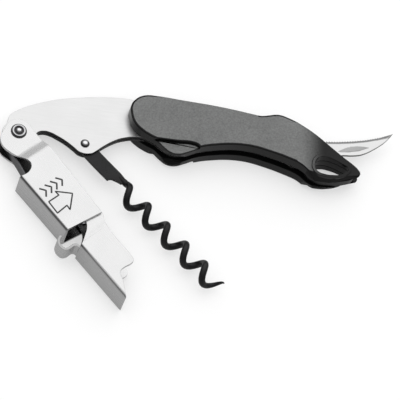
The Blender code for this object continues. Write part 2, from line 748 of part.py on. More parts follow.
def make_worm():
    half = SHANK_SHEET / 2
    worm = plate("worm", [shank_outline(), ring_points(WORM_PIN + PIN_GAP)], MID - half, MID + half)
    boolean(worm, make_wire(), "UNION")
    finish(worm, "black_coating")
    return worm


def blade_outline():
    """Claw-shaped blade about its pivot, with teeth along the hollow edge."""
    boss = BLADE_BOSS / MM
    arc = [(boss * math.cos(a), boss * math.sin(a))
           for a in (math.radians(step) for step in range(100, 271, 34))]
    spine = [(8.0, -2.7), (13.2, -3.3), (15.9, -4.2), (18.8, -4.8), (20.8, -4.8), (23.0, -4.5),
             (26.4, -3.7), (29.9, -2.6), (32.7, -1.2)]
    edge = smooth_path([(32.3, -0.1), (28.8, 0.1), (23.8, 0.5), (19.1, 1.3), (13.5, 2.5),
                        (8.5, 4.0)], 12)
    teeth = []
    for index, spot in enumerate(edge[2:-2:2]):
        depth = 0.22 if index % 2 else 0.0
        teeth.append((spot.x, spot.y - depth, 1))
    return [*arc, *spine, (34.5, 0.0, 1), *teeth, (8.3, 3.9), (4.5, 3.3)]


def make_blade():
    half = BLADE_SHEET / 2
    loops = [blade_outline(), ring_points(BLADE_PIN + PIN_GAP)]
    blade = plate("foil_blade", loops, MID - half, MID + half)
    nick = plate("nail_nick_cut", [NICK], MID + half * 0.3, MID + 2 * half)
    boolean(blade, nick)
    finish(blade, "polished_steel")
    return blade


# ---------------------------------------------------------------- assembly


def hang(objects, empty):
    """Parents the pieces to a pivot; a piece's place is then about that pivot."""
    for obj in objects:
        obj.parent = empty


def build():
    tool = pivot_empty("corkscrew", (-REST_POINT[0], -REST_POINT[1]))
    liner_low = MID - FRAME / 2
    fixed = [make_liner("liner_lower", liner_low), make_liner("liner_upper", MID + LINER_SPACE / 2)]
    fixed += [make_nose_spacer(), make_worm_backspring(), make_blade_backspring(), make_tail_spacer()]
    fixed += [make_scale("scale_upper", False), make_scale("scale_lower", True)]
    fixed += [*make_frame_pins(), make_lever_rivet(), make_worm_rivet(), *make_washers()]
    hang(fixed, tool)

    lever = pivot_empty("lever_axis", (0, 0), LEVER_ANGLE, tool)
    hang([make_upper_lever(), make_lever_leaf(), *make_studs()], lever)
    hinge = pivot_empty("hinge_axis", (HINGE_REACH, 0), 0.0, lever)
    hang([make_lower_lever()], hinge)
    hang([make_worm()], pivot_empty("worm_axis", WORM_PIVOT, WORM_ANGLE, tool))
    hang([make_blade()], pivot_empty("blade_axis", BLADE_PIVOT, BLADE_ANGLE, tool))


clear_scene()
PARTS = new_collection("lever_corkscrew")
CUTTERS = new_collection("cutters")
build()
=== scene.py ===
"""Looks of the lever corkscrew: eased steel, a swept worm, a ground foil cutter and a grained grip.

The packed model is loaded as a fixed frame. Each operator builds one group of pieces in the frame's own
metres, gives it its finish and lets it ride on its body.
"""

import json
import math

import bmesh
import bpy
from bpy.props import FloatProperty, FloatVectorProperty, IntProperty, PointerProperty
from mathutils import Matrix, Vector

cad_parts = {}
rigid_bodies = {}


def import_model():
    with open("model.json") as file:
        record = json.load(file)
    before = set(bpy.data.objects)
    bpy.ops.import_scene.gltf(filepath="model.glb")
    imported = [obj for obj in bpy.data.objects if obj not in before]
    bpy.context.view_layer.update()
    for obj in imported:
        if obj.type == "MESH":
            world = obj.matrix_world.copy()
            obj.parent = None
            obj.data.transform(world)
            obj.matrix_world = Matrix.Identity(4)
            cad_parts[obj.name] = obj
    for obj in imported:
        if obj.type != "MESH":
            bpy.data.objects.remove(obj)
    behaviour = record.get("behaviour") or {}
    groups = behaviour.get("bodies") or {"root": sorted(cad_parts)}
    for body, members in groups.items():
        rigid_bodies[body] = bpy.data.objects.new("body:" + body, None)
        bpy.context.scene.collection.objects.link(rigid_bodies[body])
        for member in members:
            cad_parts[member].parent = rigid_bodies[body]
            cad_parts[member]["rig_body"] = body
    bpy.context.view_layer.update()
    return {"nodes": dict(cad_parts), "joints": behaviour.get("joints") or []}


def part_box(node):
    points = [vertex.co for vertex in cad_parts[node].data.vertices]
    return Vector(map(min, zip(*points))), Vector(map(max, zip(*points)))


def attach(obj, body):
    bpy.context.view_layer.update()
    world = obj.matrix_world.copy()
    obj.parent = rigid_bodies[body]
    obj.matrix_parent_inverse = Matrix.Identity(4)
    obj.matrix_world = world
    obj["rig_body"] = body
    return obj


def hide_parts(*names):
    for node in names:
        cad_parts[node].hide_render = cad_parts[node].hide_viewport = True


bl_info = {
    "name": "Lever corkscrew looks",
    "version": (1, 0, 0),
    "blender": (4, 5, 0),
    "location": "View3D > Sidebar > Corkscrew",
    "description": "Builds the visual pieces of a lever corkscrew round its packed frame",
    "category": "Object",
}

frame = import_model()
PIVOTS = {joint["name"]: Vector(joint["pos_m"]) for joint in frame["joints"]}
MM = 0.001

LEVER_PIVOT = PIVOTS["lever_pivot"]
LEVER_TURN = math.radians(-47)
WORM_TURN = math.radians(-43.6)
BLADE_TURN = math.radians(23.3)
MIDDLE = LEVER_PIVOT.z
WEB_OUT = Matrix.Rotation(LEVER_TURN, 3, "Z") @ Vector((0, -1, 0))

# How near two points of a CAD mesh, or of a pressed copy, are taken as one.
NEAR, NEAR_PRESSED = 1.5e-5, 8e-5
# The most area, in square metres, that an eased copy's faces may fold over.
MOST_FOLDED = 0.5e-6
# Radius of the pin holes in the worm's shank and the foil cutter, and of the bosses round them.
PIN_HOLE, BOSS = 0.00125, 2.7

STEELWORK = {
    "liner_lower": "satin_steel",
    "liner_upper": "satin_steel",
    "upper_lever": "lever_steel",
    "lower_lever": "lever_steel",
    "tail_spacer": "black_moulding",
}
PLAIN_NODES = {
    "nose_spacer": "spring_steel",
    "worm_backspring": "spring_steel",
    "blade_backspring": "spring_steel",
    "lever_leaf_spring": "spring_steel",
    "frame_rivet_front": "polished_steel",
    "frame_rivet_rear": "polished_steel",
    "grip_peg_front": "polished_steel",
    "grip_peg_rear": "polished_steel",
    "blade_pivot_pin": "polished_steel",
    "lever_washer_upper": "polished_steel",
    "lever_washer_lower": "polished_steel",
    "hinge_stud_upper": "polished_steel",
    "hinge_stud_lower": "polished_steel",
}


# ---------------------------------------------------------------- settings


def length(name, value, description):
    return FloatProperty(name=name, description=description, default=value, unit="LENGTH")


def amount(name, value, description):
    return FloatProperty(name=name, description=description, default=value)


def paint(name, value, description):
    return FloatVectorProperty(name=name, description=description, default=value, subtype="COLOR")


class SteelSettings(bpy.types.PropertyGroup):
    """Sheet-steel parts: frame plates and lever halves"""

    easing: length("Easing", 0.00012, "Width of the broken edges")
    bend: length("Bend", 0.0011, "Outer radius of the folded sheet")
    joggle: length("Joggle blend", 0.0018, "Rounding of the step in a cheek")
    frame_colour: paint("Frame colour", (0.71, 0.71, 0.71), "Satin steel of the frame")
    lever_colour: paint("Lever colour", (0.68, 0.68, 0.68), "Pressed steel of the levers")
    grain_width: length("Grain width", 0.00028, "Width of one brushing line")


class RivetSettings(bpy.types.PropertyGroup):
    """Turned rivet heads"""

    sides: IntProperty(name="Sides", description="Steps round a head", default=56)
    lever_pin: length("Lever pin", 0.0020, "Radius of the lever's rivet")
    lever_head: length("Lever head", 0.0028, "Radius of the lever rivet's head")
    worm_pin: length("Worm pin", 0.0012, "Radius of the worm's rivet")
    worm_head: length("Worm head", 0.0016, "Radius of the worm rivet's dome")


class WormSettings(bpy.types.PropertyGroup):
    """Coated worm: a flat shank that runs into a helix of wire"""

    wire: length("Wire", 0.0024, "Diameter of the wire")
    radius: length("Helix radius", 0.00265, "Axis to the middle of the wire")
    pitch: length("Pitch", 0.00945, "Rise in one turn")
    turns: amount("Turns", 5.1, "Turns down to the point")
    start: length("Start", 0.0210, "Pivot to the first turn")
    drop: length("Drop", 0.0014, "Pivot's line to the helix axis")
    colour: paint("Coating", (0.007, 0.007, 0.0075), "Non-stick coating")


class BladeSettings(bpy.types.PropertyGroup):
    """Foil cutter"""

    sheet: length("Sheet", 0.0010, "Blade thickness")
    tooth_pitch: length("Tooth pitch", 0.00095, "Spacing of the serrations")
    tooth_depth: length("Tooth depth", 0.00036, "Depth of the serrations")
    grind: length("Grind", 0.0011, "Width of the ground edge")
    nick_depth: length("Nick depth", 0.00028, "Depth of the nail nick")


class GripSettings(bpy.types.PropertyGroup):
    """Moulded scales"""

    face_colour: paint("Face colour", (0.172, 0.175, 0.173), "Grained face")
    rim_colour: paint("Rim colour", (0.0035, 0.0035, 0.0035), "Smooth rim and tail")
    grain: length("Grain", 0.00045, "Size of the moulded grain")
    rim_width: length("Rim width", 0.00035, "Smooth edge left round the grained face")
    # The tail's smooth black finish starts and ends here; the darkening it brings is painted shade.
    smooth_shaded_tail_start: length("Fade start", 0.0290, "Where the grained face starts to end")
    smooth_shaded_tail_end: length("Fade end", 0.0388, "Where the tail is fully smooth")


class StageSettings(bpy.types.PropertyGroup):
    """Floor, lights and camera"""

    floor_colour: paint("Floor", (0.93, 0.93, 0.93), "Pale floor")
    floor_mirrored: amount("Floor in mirrors", 0.52, "Share of the floor's paleness seen in metal")
    room: amount("Ceiling", 0.65, "Brightness of the ceiling")
    horizon: amount("Walls", 0.24, "Brightness of the walls")
    key: amount("Key", 0.66, "Brightness of the panel that metal mirrors")
    fill: amount("Fill", 1.15, "Brightness of the panel overhead")
    distance: length("Distance", 0.90, "Camera to the object")
    width: length("Width", 0.1388, "Width of the view at the object")


# ---------------------------------------------------------------- meshes


def placed(spot, turn):
    """The matrix that puts a piece modelled about its pivot into the frame."""
    return Matrix.Translation((spot.x, spot.y, 0)) @ Matrix.Rotation(turn, 4, "Z")


def new_object(name, mesh):
    obj = bpy.data.objects.new(name, mesh)
    bpy.context.scene.collection.objects.link(obj)
    return obj


def mesh_from(name, bm):
    mesh = bpy.data.meshes.new(name)
    bm.to_mesh(mesh)
    bm.free()
    return mesh


def settle(obj):
    """Leaves the object with its evaluated mesh and no modifiers."""
    graph = bpy.context.evaluated_depsgraph_get()
    mesh = bpy.data.meshes.new_from_object(obj.evaluated_get(graph))
    obj.modifiers.clear()
    obj.data = mesh
    return obj


def open_edges(mesh):
    bm = bmesh.new()
    bm.from_mesh(mesh)
    found = sum(not edge.is_manifold for edge in bm.edges)
    bm.free()
    return found


def folded(mesh):
    """Area by which the faces' triangles miss the faces: an outline that folds over itself has some."""
    mesh.calc_loop_triangles()
    drawn = [0.0] * len(mesh.polygons)
    for triangle in mesh.loop_triangles:
        drawn[triangle.polygon_index] += triangle.area
    return sum(abs(area - face.area) for area, face in zip(drawn, mesh.polygons))


def smooth(obj, angle=35):
    """Smooth shading that keeps broad faces flat and edges over the angle sharp."""
    obj.data.shade_smooth()
    obj.data.set_sharp_from_angle(angle=math.radians(angle))
    normals = obj.modifiers.new("Flat faces", "WEIGHTED_NORMAL")
    normals.weight = 100
    normals.keep_sharp = True
    settle(obj)


def finish_piece(obj, material, body, slot, *nodes):
    """Gives a piece its finish, sets it on its body and hides what it stands for."""
    if open_edges(obj.data):
        raise RuntimeError(f"{obj.name} is not closed")
    obj.data.materials.clear()
    obj.data.materials.append(material)
    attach(obj, body)
    if nodes:
        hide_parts(*nodes)
    return obj


def merged_copy(name, node):
    """The node's solid with its triangles joined up, as a new object."""
    bm = bmesh.new()
    bm.from_mesh(frame["nodes"][node].data)
    bmesh.ops.remove_doubles(bm, verts=bm.verts, dist=NEAR)
    flat = math.radians(0.6)
    bmesh.ops.dissolve_limit(bm, angle_limit=flat, verts=bm.verts, edges=bm.edges)
    return new_object(name, mesh_from(name, bm))


def on_lever(point):
    """The point as the lever sees it: along it from its pivot, and up from its bent web."""
    return Matrix.Rotation(-LEVER_TURN, 3, "Z") @ (point - LEVER_PIVOT)


def is_sheet_bend(edge):
    """True where a cheek folds into the web: one face is the cheek's outside, the other the web's."""
    first, second = sorted((face.normal for face in edge.link_faces), key=lambda way: abs(way.z))
    return first.dot(WEB_OUT) > 0.9 and abs(second.z) > 0.9 and edge.is_convex


def is_joggle(edge):
    """True at the top or the foot of the gentle step pressed into a cheek."""
    low, high = math.radians(4), math.radians(38)
    flat = all(abs(face.normal.z) > 0.75 for face in edge.link_faces)
    return flat and low < edge.calc_face_angle(0) < high


def looks_out(face, least):
    """True where the face looks out of the tool's near or far side, at least this squarely."""
    return abs(face.normal.z) > least and face.normal.z * (face.calc_center_median().z - MIDDLE) > 0


def pressed_copy(name, node, bend, joggle):
    """A merged copy with the sheet's bends rounded and its joggles blended."""
    obj = merged_copy(name, node)
    bm = bmesh.new()
    bm.from_mesh(obj.data)
    for wanted, width, segments in ((is_sheet_bend, bend, 5), (is_joggle, joggle, 4)):
        edges = [edge for edge in bm.edges if edge.calc_length() > 0.0015 and wanted(edge)]
        bmesh.ops.bevel(bm, geom=edges, offset=width, offset_type="OFFSET", segments=segments,
                        profile=0.5, affect="EDGES", clamp_overlap=True)
    bmesh.ops.remove_doubles(bm, verts=bm.verts, dist=NEAR_PRESSED)
    bm.to_mesh(obj.data)
    bm.free()
    return obj


def ease_edges(mesh, width, angle):
    """Breaks the sharp edges round the faces that look out of the tool."""
    bm = bmesh.new()
    bm.from_mesh(mesh)
    outward = {face for face in bm.faces if looks_out(face, 0.9)}
    edges = [edge for edge in bm.edges if edge.is_manifold and outward.intersection(edge.link_faces)
             and edge.calc_face_angle(0) > math.radians(angle)]
    bmesh.ops.bevel(bm, geom=edges, offset=width, offset_type="OFFSET", segments=2, profile=0.5,
                    affect="EDGES", clamp_overlap=False)
    bm.to_mesh(mesh)
    bm.free()


def eased_copy(name, node, width, angle=40, bend=0.0, joggle=0.0):
    """The node's solid with its edges broken, more narrowly where a wide break would fold over."""
    for share in (1.0, 0.75, 0.5, 0.25, 0.0):
        obj = pressed_copy(name, node, bend, joggle) if bend else merged_copy(name, node)
        if share:
            ease_edges(obj.data, width * share, angle)
        if not open_edges(obj.data) and (share == 0 or folded(obj.data) < MOST_FOLDED):
            smooth(obj)
            return obj
        bpy.data.objects.remove(obj)
    raise RuntimeError(f"no closed copy of {node}")


def round_edges(obj, width, angle, **settings):
    bevel = obj.modifiers.new("Easing", "BEVEL")
    bevel.width, bevel.segments, bevel.limit_method = width, 2, "ANGLE"
    bevel.angle_limit = math.radians(angle)
    for key, value in settings.items():
        setattr(bevel, key, value)
    settle(obj)


def moulded_copy(name, node, width, angle=50):
    """The node's solid with every sharp edge rounded, as a mould leaves it."""
    for share in (1.0, 0.6, 0.3, 0.0):
        obj = merged_copy(name, node)
        if share:
            round_edges(obj, width * share, angle, use_clamp_overlap=False, miter_outer="MITER_ARC")
        if not open_edges(obj.data):
            smooth(obj)
            return obj
        bpy.data.objects.remove(obj)
    raise RuntimeError(f"no closed copy of {node}")


def plate(name, loops, low, high, steps=6):
    """A flat piece from low to high. The first outline is its edge and the others are holes."""
    curve = bpy.data.curves.new(name, "CURVE")
    curve.dimensions = "2D"
    curve.fill_mode = "BOTH"
    curve.extrude = (high - low) / 2
    curve.resolution_u = steps
    for loop in loops:
        spline = curve.splines.new("BEZIER")
        spline.bezier_points.add(len(loop) - 1)
        spline.use_cyclic_u = True
        for knot, (x, y, *corner) in zip(spline.bezier_points, loop):
            knot.co = (x * MM, y * MM, 0)
            knot.handle_left_type = knot.handle_right_type = "VECTOR" if corner else "AUTO"
    obj = new_object(name, curve)
    graph = bpy.context.evaluated_depsgraph_get()
    bm = bmesh.new()
    bm.from_mesh(bpy.data.meshes.new_from_object(obj.evaluated_get(graph)))
    bpy.data.objects.remove(obj)
    bmesh.ops.remove_doubles(bm, verts=bm.verts, dist=1e-7)
    bmesh.ops.translate(bm, verts=bm.verts, vec=(0, 0, (low + high) / 2))
    bmesh.ops.dissolve_limit(bm, angle_limit=0.001, verts=bm.verts, edges=bm.edges)
    bmesh.ops.recalc_face_normals(bm, faces=bm.faces)
    return new_object(name, mesh_from(name, bm))


def ring_points(radius, count=8):
    steps = [2 * math.pi * step / count for step in range(count)]
    return [(radius / MM * math.cos(a), radius / MM * math.sin(a)) for a in steps]


def united(obj, other):
    """Joins the other closed piece to this one as one skin."""
    joint = obj.modifiers.new("Join", "BOOLEAN")
    joint.operation = "UNION"
    joint.solver = "EXACT"
    joint.object = other
    settle(obj)
    bpy.data.objects.remove(other)
    return obj


def interpolated(points, x):
    """Height of a line of points at x, eased between them."""
    for (x0, y0), (x1, y1) in zip(points, points[1:]):
        if x <= x1:
            t = min(1.0, max(0.0, (x - x0) / (x1 - x0)))
            return y0 + (y1 - y0) * t
    return points[-1][1]


# ---------------------------------------------------------------- geometry node trees


class Tree:
    """Small helper that builds a node tree: each call makes a node and links or sets its inputs."""

    def __init__(self, name, kind):
        self.tree = bpy.data.node_groups.new(name, kind)
        self.nodes = self.tree.nodes
        self.entry = self.nodes.new("NodeGroupInput")
        self.exit = self.nodes.new("NodeGroupOutput")
        self.ids = {}

    def takes(self, name, kind, default=None):
        socket = self.tree.interface.new_socket(name=name, in_out="INPUT", socket_type=kind)
        if default is not None:
            socket.default_value = default
        self.ids[name] = socket.identifier
        return self.entry.outputs[name]

    def gives(self, name, kind, value):
        self.tree.interface.new_socket(name=name, in_out="OUTPUT", socket_type=kind)
        self.tree.links.new(value, self.exit.inputs[name])

    def put(self, socket, value):
        if isinstance(value, bpy.types.NodeSocket):
            self.tree.links.new(value, socket)
        else:
            socket.default_value = value

    def node(self, kind, values=(), out=0, **settings):
        made = self.nodes.new(kind)
        for key, value in settings.items():
            setattr(made, key, value)
        pairs = values.items() if isinstance(values, dict) else enumerate(values)
        for key, value in pairs:
            if value is not None:
                self.put(made.inputs[key], value)
        return made.outputs[out]

    def math(self, operation, *values):
        return self.node("ShaderNodeMath", values, operation=operation)

    def vector(self, x=0.0, y=0.0, z=0.0):
        return self.node("ShaderNodeCombineXYZ", (x, y, z))

    def split(self, vector):
        made = self.nodes.new("ShaderNodeSeparateXYZ")
        self.put(made.inputs[0], vector)
        return made.outputs

    def ends_with(self, shape, surface):
        """Gives the shape as plain faces with the material on them."""
        real = self.node("GeometryNodeRealizeInstances", {"Geometry": shape})
        done = self.node("GeometryNodeSetMaterial", {"Geometry": real, "Material": surface})
        self.gives("Geometry", "NodeSocketGeometry", done)
        return self


def rivet_tree():
    """Turns the object's own line of points about Z."""
    t = Tree("Turned rivet", "GeometryNodeTree")
    line = t.takes("Geometry", "NodeSocketGeometry")
    sides = t.takes("Sides", "NodeSocketInt", 48)
    surface = t.takes("Material", "NodeSocketMaterial")
    count = t.node("GeometryNodeAttributeDomainSize", (line,))
    columns = t.math("ADD", sides, 1.0)
    grid = t.node("GeometryNodeMeshGrid", {"Vertices X": count, "Vertices Y": columns})
    index = t.node("GeometryNodeInputIndex")
    row = t.math("FLOOR", t.math("DIVIDE", index, columns))
    column = t.math("SUBTRACT", index, t.math("MULTIPLY", row, columns))
    place = t.node(
        "GeometryNodeSampleIndex",
        {"Geometry": line, "Value": t.node("GeometryNodeInputPosition"), "Index": row},
        data_type="FLOAT_VECTOR",
    )
    split = t.split(place)
    angle = t.math("MULTIPLY", t.math("DIVIDE", column, sides), 2 * math.pi)
    x = t.math("MULTIPLY", split["X"], t.math("COSINE", angle))
    y = t.math("MULTIPLY", split["X"], t.math("SINE", angle))
    spun = t.node("GeometryNodeSetPosition", {"Geometry": grid, "Position": t.vector(x, y, split["Z"])})
    welded = t.node("GeometryNodeMergeByDistance", {"Geometry": spun, "Distance": 1e-6})
    return t.ends_with(welded, surface)


def worm_tree():
    """Lead-in along the shank, the helix, and the ground point, swept with a round section."""
    t = Tree("Worm wire", "GeometryNodeTree")
    t.takes("Geometry", "NodeSocketGeometry")
    pitch = t.takes("Pitch", "NodeSocketFloat", 0.0095)
    turns = t.takes("Turns", "NodeSocketFloat", 5.0)
    radius = t.takes("Helix Radius", "NodeSocketFloat", 0.0026)
    wire = t.takes("Wire Radius", "NodeSocketFloat", 0.0012)
    lead = t.takes("Lead Turns", "NodeSocketFloat", 0.72)
    steps = t.takes("Steps Per Turn", "NodeSocketInt", 36)
    surface = t.takes("Material", "NodeSocketMaterial")
    whole = t.math("ADD", turns, lead)
    count = t.math("ADD", t.math("MULTIPLY", whole, steps), 1.0)
    line = t.node("GeometryNodeMeshLine", {"Count": count})
    index = t.node("GeometryNodeInputIndex")
    turn = t.math("SUBTRACT", t.math("DIVIDE", index, steps), lead)
    ease = 0.14
    near = t.math("MINIMUM", t.math("MAXIMUM", t.math("ADD", turn, ease), 0.0), 2 * ease)
    eased = t.math("DIVIDE", t.math("MULTIPLY", near, near), 4 * ease)
    wound = t.math("ADD", eased, t.math("MAXIMUM", t.math("SUBTRACT", turn, ease), 0.0))
    angle = t.math("MULTIPLY", wound, 2 * math.pi)
    place = t.vector(
        t.math("MULTIPLY", turn, pitch),
        t.math("MULTIPLY", radius, t.math("COSINE", angle)),
        t.math("MULTIPLY", radius, t.math("SINE", angle)),
    )
    path = t.node("GeometryNodeSetPosition", {"Geometry": line, "Position": place})
    left = t.math("MAXIMUM", t.math("SUBTRACT", turns, turn), 0.0)
    point = t.math("ADD", t.math("MULTIPLY", t.math("POWER", left, 0.75), 1.35), 0.12)
    point = t.math("MINIMUM", point, 1.0)
    swell = t.node(
        "ShaderNodeMapRange",
        {"Value": turn, "From Min": t.math("MULTIPLY", lead, -1.0), "From Max": -0.1, "To Min": 0.40},
        interpolation_type="SMOOTHSTEP",
    )
    share = t.math("MULTIPLY", point, swell)
    marked = t.node(
        "GeometryNodeStoreNamedAttribute", {"Geometry": path, "Name": "share", "Value": share}
    )
    curve = t.node("GeometryNodeMeshToCurve", {"Mesh": marked})
    section = t.node("GeometryNodeCurvePrimitiveCircle", {"Resolution": 20, "Radius": wire})
    kept = t.node("GeometryNodeInputNamedAttribute", {"Name": "share"})
    swept = t.node(
        "GeometryNodeCurveToMesh",
        {"Curve": curve, "Profile Curve": section, "Scale": kept, "Fill Caps": True},
    )
    return t.ends_with(swept, surface)


def teeth_tree():
    """Scallops the blade's edge, where the mesh's edge weight says that it is the edge."""
    t = Tree("Blade teeth", "GeometryNodeTree")
    blade = t.takes("Geometry", "NodeSocketGeometry")
    pitch = t.takes("Tooth Pitch", "NodeSocketFloat", 0.001)
    depth = t.takes("Tooth Depth", "NodeSocketFloat", 0.0002)
    surface = t.takes("Material", "NodeSocketMaterial")
    along = t.split(t.node("GeometryNodeInputPosition"))["X"]
    wave = t.math("SINE", t.math("MULTIPLY", t.math("DIVIDE", along, pitch), math.pi))
    weight = t.node("GeometryNodeInputNamedAttribute", {"Name": "edge"})
    cut = t.math("MULTIPLY", t.math("ABSOLUTE", wave), t.math("MULTIPLY", depth, weight))
    shift = t.vector(0.0, t.math("MULTIPLY", cut, -1.0), 0.0)
    cut_edge = t.node("GeometryNodeSetPosition", {"Geometry": blade, "Offset": shift})
    return t.ends_with(cut_edge, surface)


def marking_tree():
    """Lays a thin flat stroke along the object's own lines, repeated in a row."""
    t = Tree("Enamel strokes", "GeometryNodeTree")
    lines = t.takes("Geometry", "NodeSocketGeometry")
    width = t.takes("Stroke Width", "NodeSocketFloat", 0.0003)
    height = t.takes("Stroke Height", "NodeSocketFloat", 0.00004)
    count = t.takes("Count", "NodeSocketInt", 1)
    spacing = t.takes("Spacing", "NodeSocketFloat", 0.002)
    surface = t.takes("Material", "NodeSocketMaterial")
    curve = t.node("GeometryNodeMeshToCurve", {"Mesh": lines})
    section = t.node("GeometryNodeCurvePrimitiveQuadrilateral", {"Width": width, "Height": height})
    stroke = t.node(
        "GeometryNodeCurveToMesh", {"Curve": curve, "Profile Curve": section, "Fill Caps": True}
    )
    row = t.node("GeometryNodeMeshLine", {"Count": count, "Offset": t.vector(0.0, spacing, 0.0)})
    copies = t.node("GeometryNodeInstanceOnPoints", {"Points": row, "Instance": stroke})
    return t.ends_with(copies, surface)


def grown_by(tree, obj, matrix, **values):
    """Runs the tree on the object, keeps the plain mesh and moves it to its place in the frame."""
    modifier = obj.modifiers.new(tree.tree.name, "NODES")
    modifier.node_group = tree.tree
    for name, value in values.items():
        modifier[tree.ids[name.replace("_", " ")]] = value
    settle(obj)
    bm = bmesh.new()
    bm.from_mesh(obj.data)
    bmesh.ops.remove_doubles(bm, verts=bm.verts, dist=2e-7)
    bmesh.ops.recalc_face_normals(bm, faces=bm.faces)
    bmesh.ops.transform(bm, matrix=matrix, verts=bm.verts)
    bm.to_mesh(obj.data)
    bm.free()
    return obj


def with_shoulders(points, closed, reach=0.34):
    """The line with a point close before and after each corner, so that a stroke keeps its width."""
    full = []
    count = len(points)
    for i, point in enumerate(points):
        here = Vector(point)
        before, after = Vector(points[i - 1]), Vector(points[(i + 1) % count])
        if closed or i > 0:
            full.append(here + (before - here).normalized() * reach)
        full.append(here)
        if closed or i < count - 1:
            full.append(here + (after - here).normalized() * reach)
    return full


def polyline(name, points, closed=False):
    """An object of points and the edges between them, in metres."""
    bm = bmesh.new()
    verts = [bm.verts.new(point) for point in points]
    for first, second in zip(verts, verts[1:] + verts[:1] if closed else verts[1:]):
        bm.edges.new((first, second))
    return new_object(name, mesh_from(name, bm))


# ---------------------------------------------------------------- shared shader effects


def grain_effect():
    """Long fine brushing lines: how light each line is, how rough and how high."""
    t = Tree("Brushed grain", "ShaderNodeTree")
    place = t.takes("Vector", "NodeSocketVector")
    width = t.takes("Line Width", "NodeSocketFloat", 0.00016)
    length = t.takes("Line Length", "NodeSocketFloat", 0.006)
    stretch = t.vector(
        t.math("DIVIDE", 1.0, length), t.math("DIVIDE", 1.0, width), t.math("DIVIDE", 1.0, width)
    )
    scaled = t.node("ShaderNodeVectorMath", (place, stretch), operation="MULTIPLY")
    fine = t.node("ShaderNodeTexNoise", {"Vector": scaled, "Scale": 1.0, "Detail": 3.0})
    broad = t.node("ShaderNodeTexNoise", {"Vector": scaled, "Scale": 0.23, "Detail": 2.0})
    both = t.math("ADD", t.math("MULTIPLY", fine, 0.6), t.math("MULTIPLY", broad, 0.4))
    t.gives("Shade", "NodeSocketFloat", both)
    t.gives("Height", "NodeSocketFloat", fine)
    return t.tree


def handling_effect():
    """Faint patches left by hands and cloths."""
    t = Tree("Handling marks", "ShaderNodeTree")
    place = t.takes("Vector", "NodeSocketVector")
    size = t.takes("Patch Size", "NodeSocketFloat", 0.008)
    scale = t.math("DIVIDE", 1.0, size)
    patch = t.node("ShaderNodeTexNoise", {"Vector": place, "Scale": scale, "Detail": 4.0})
    mask = t.node("ShaderNodeMapRange", {"Value": patch, "From Min": 0.35, "From Max": 0.7})
    t.gives("Mask", "NodeSocketFloat", mask)
    return t.tree


def moulded_effect():
    """Spark-eroded grain of a moulding tool, with a softer mottle under it."""
    t = Tree("Moulded grain", "ShaderNodeTree")
    place = t.takes("Vector", "NodeSocketVector")
    size = t.takes("Grain Size", "NodeSocketFloat", 0.0004)
    scale = t.math("DIVIDE", 1.0, size)
    pits = t.node("ShaderNodeTexVoronoi", {"Vector": place, "Scale": scale, "Randomness": 1.0})
    mottle = t.node(
        "ShaderNodeTexNoise",
        {"Vector": place, "Scale": t.math("MULTIPLY", scale, 0.8), "Detail": 5.0, "Roughness": 0.6},
    )
    both = t.math("ADD", t.math("MULTIPLY", pits, 0.5), t.math("MULTIPLY", mottle, 0.8))
    t.gives("Height", "NodeSocketFloat", both)
    t.gives("Shade", "NodeSocketFloat", mottle)
    return t.tree


EFFECTS = {}


def effect(name):
    makers = {"grain": grain_effect, "handling": handling_effect, "moulded": moulded_effect}
    if name not in EFFECTS:
        EFFECTS[name] = makers[name]()
    return EFFECTS[name]


# ---------------------------------------------------------------- finishes


class Finish:
    """A material under construction, with short ways to add and link its nodes."""

    def __init__(self, name, roughness, metallic, **constants):
        self.material = bpy.data.materials.new(name)
        self.material.use_nodes = True
        self.tree = self.material.node_tree
        self.shader = self.tree.nodes["Principled BSDF"]
        self.shader.inputs["Roughness"].default_value = roughness
        self.shader.inputs["Metallic"].default_value = metallic
        for key, value in constants.items():
            self.shader.inputs[key.replace("_", " ")].default_value = value

    def node(self, kind, values=(), out=0, **settings):
        made = self.tree.nodes.new(kind)
        for key, value in settings.items():
            setattr(made, key, value)
        for key, value in (values.items() if isinstance(values, dict) else enumerate(values)):
            if isinstance(value, bpy.types.NodeSocket):
                self.tree.links.new(value, made.inputs[key])
            else:
                made.inputs[key].default_value = value
        return made.outputs[out]

    def effect(self, name, **values):
        made = self.tree.nodes.new("ShaderNodeGroup")
        made.node_tree = effect(name)
        for key, value in values.items():
            socket = made.inputs[key.replace("_", " ")]
            if isinstance(value, bpy.types.NodeSocket):
                self.tree.links.new(value, socket)
            else:
                socket.default_value = value
        return made.outputs

    def place(self, turn=0.0):
        """Object coordinates, turned so that X runs along the piece."""
        spot = self.node("ShaderNodeTexCoord", out="Object")
        return self.node(
            "ShaderNodeMapping", {"Vector": spot, "Rotation": (0, 0, -turn)}, vector_type="POINT"
        )

    def math(self, operation, *values):
        return self.node("ShaderNodeMath", values, operation=operation)

    def stored(self, name):
        return self.node("ShaderNodeAttribute", out="Fac", attribute_name=name)

    def split(self, vector):
        made = self.tree.nodes.new("ShaderNodeSeparateXYZ")
        self.tree.links.new(vector, made.inputs[0])
        return made.outputs

    def mix(self, share, first, second):
        values = {"Factor": share, 6: first, 7: second}
        return self.node("ShaderNodeMix", values, out=2, data_type="RGBA")

    def level(self, value, low, high, start=0.0, end=1.0):
        values = {"Value": value, "From Min": start, "From Max": end, "To Min": low, "To Max": high}
        return self.node("ShaderNodeMapRange", values)

    def bump(self, height, distance, strength=1.0, normal=None):
        values = {"Height": height, "Distance": distance, "Strength": strength}
        if normal:
            values["Normal"] = normal
        return self.node("ShaderNodeBump", values)

    def feed(self, **links):
        for key, value in links.items():
            self.tree.links.new(value, self.shader.inputs[key.replace("_", " ")])
        return self.material


def grey(colour, share):
    return (*[channel * share for channel in colour], 1.0)


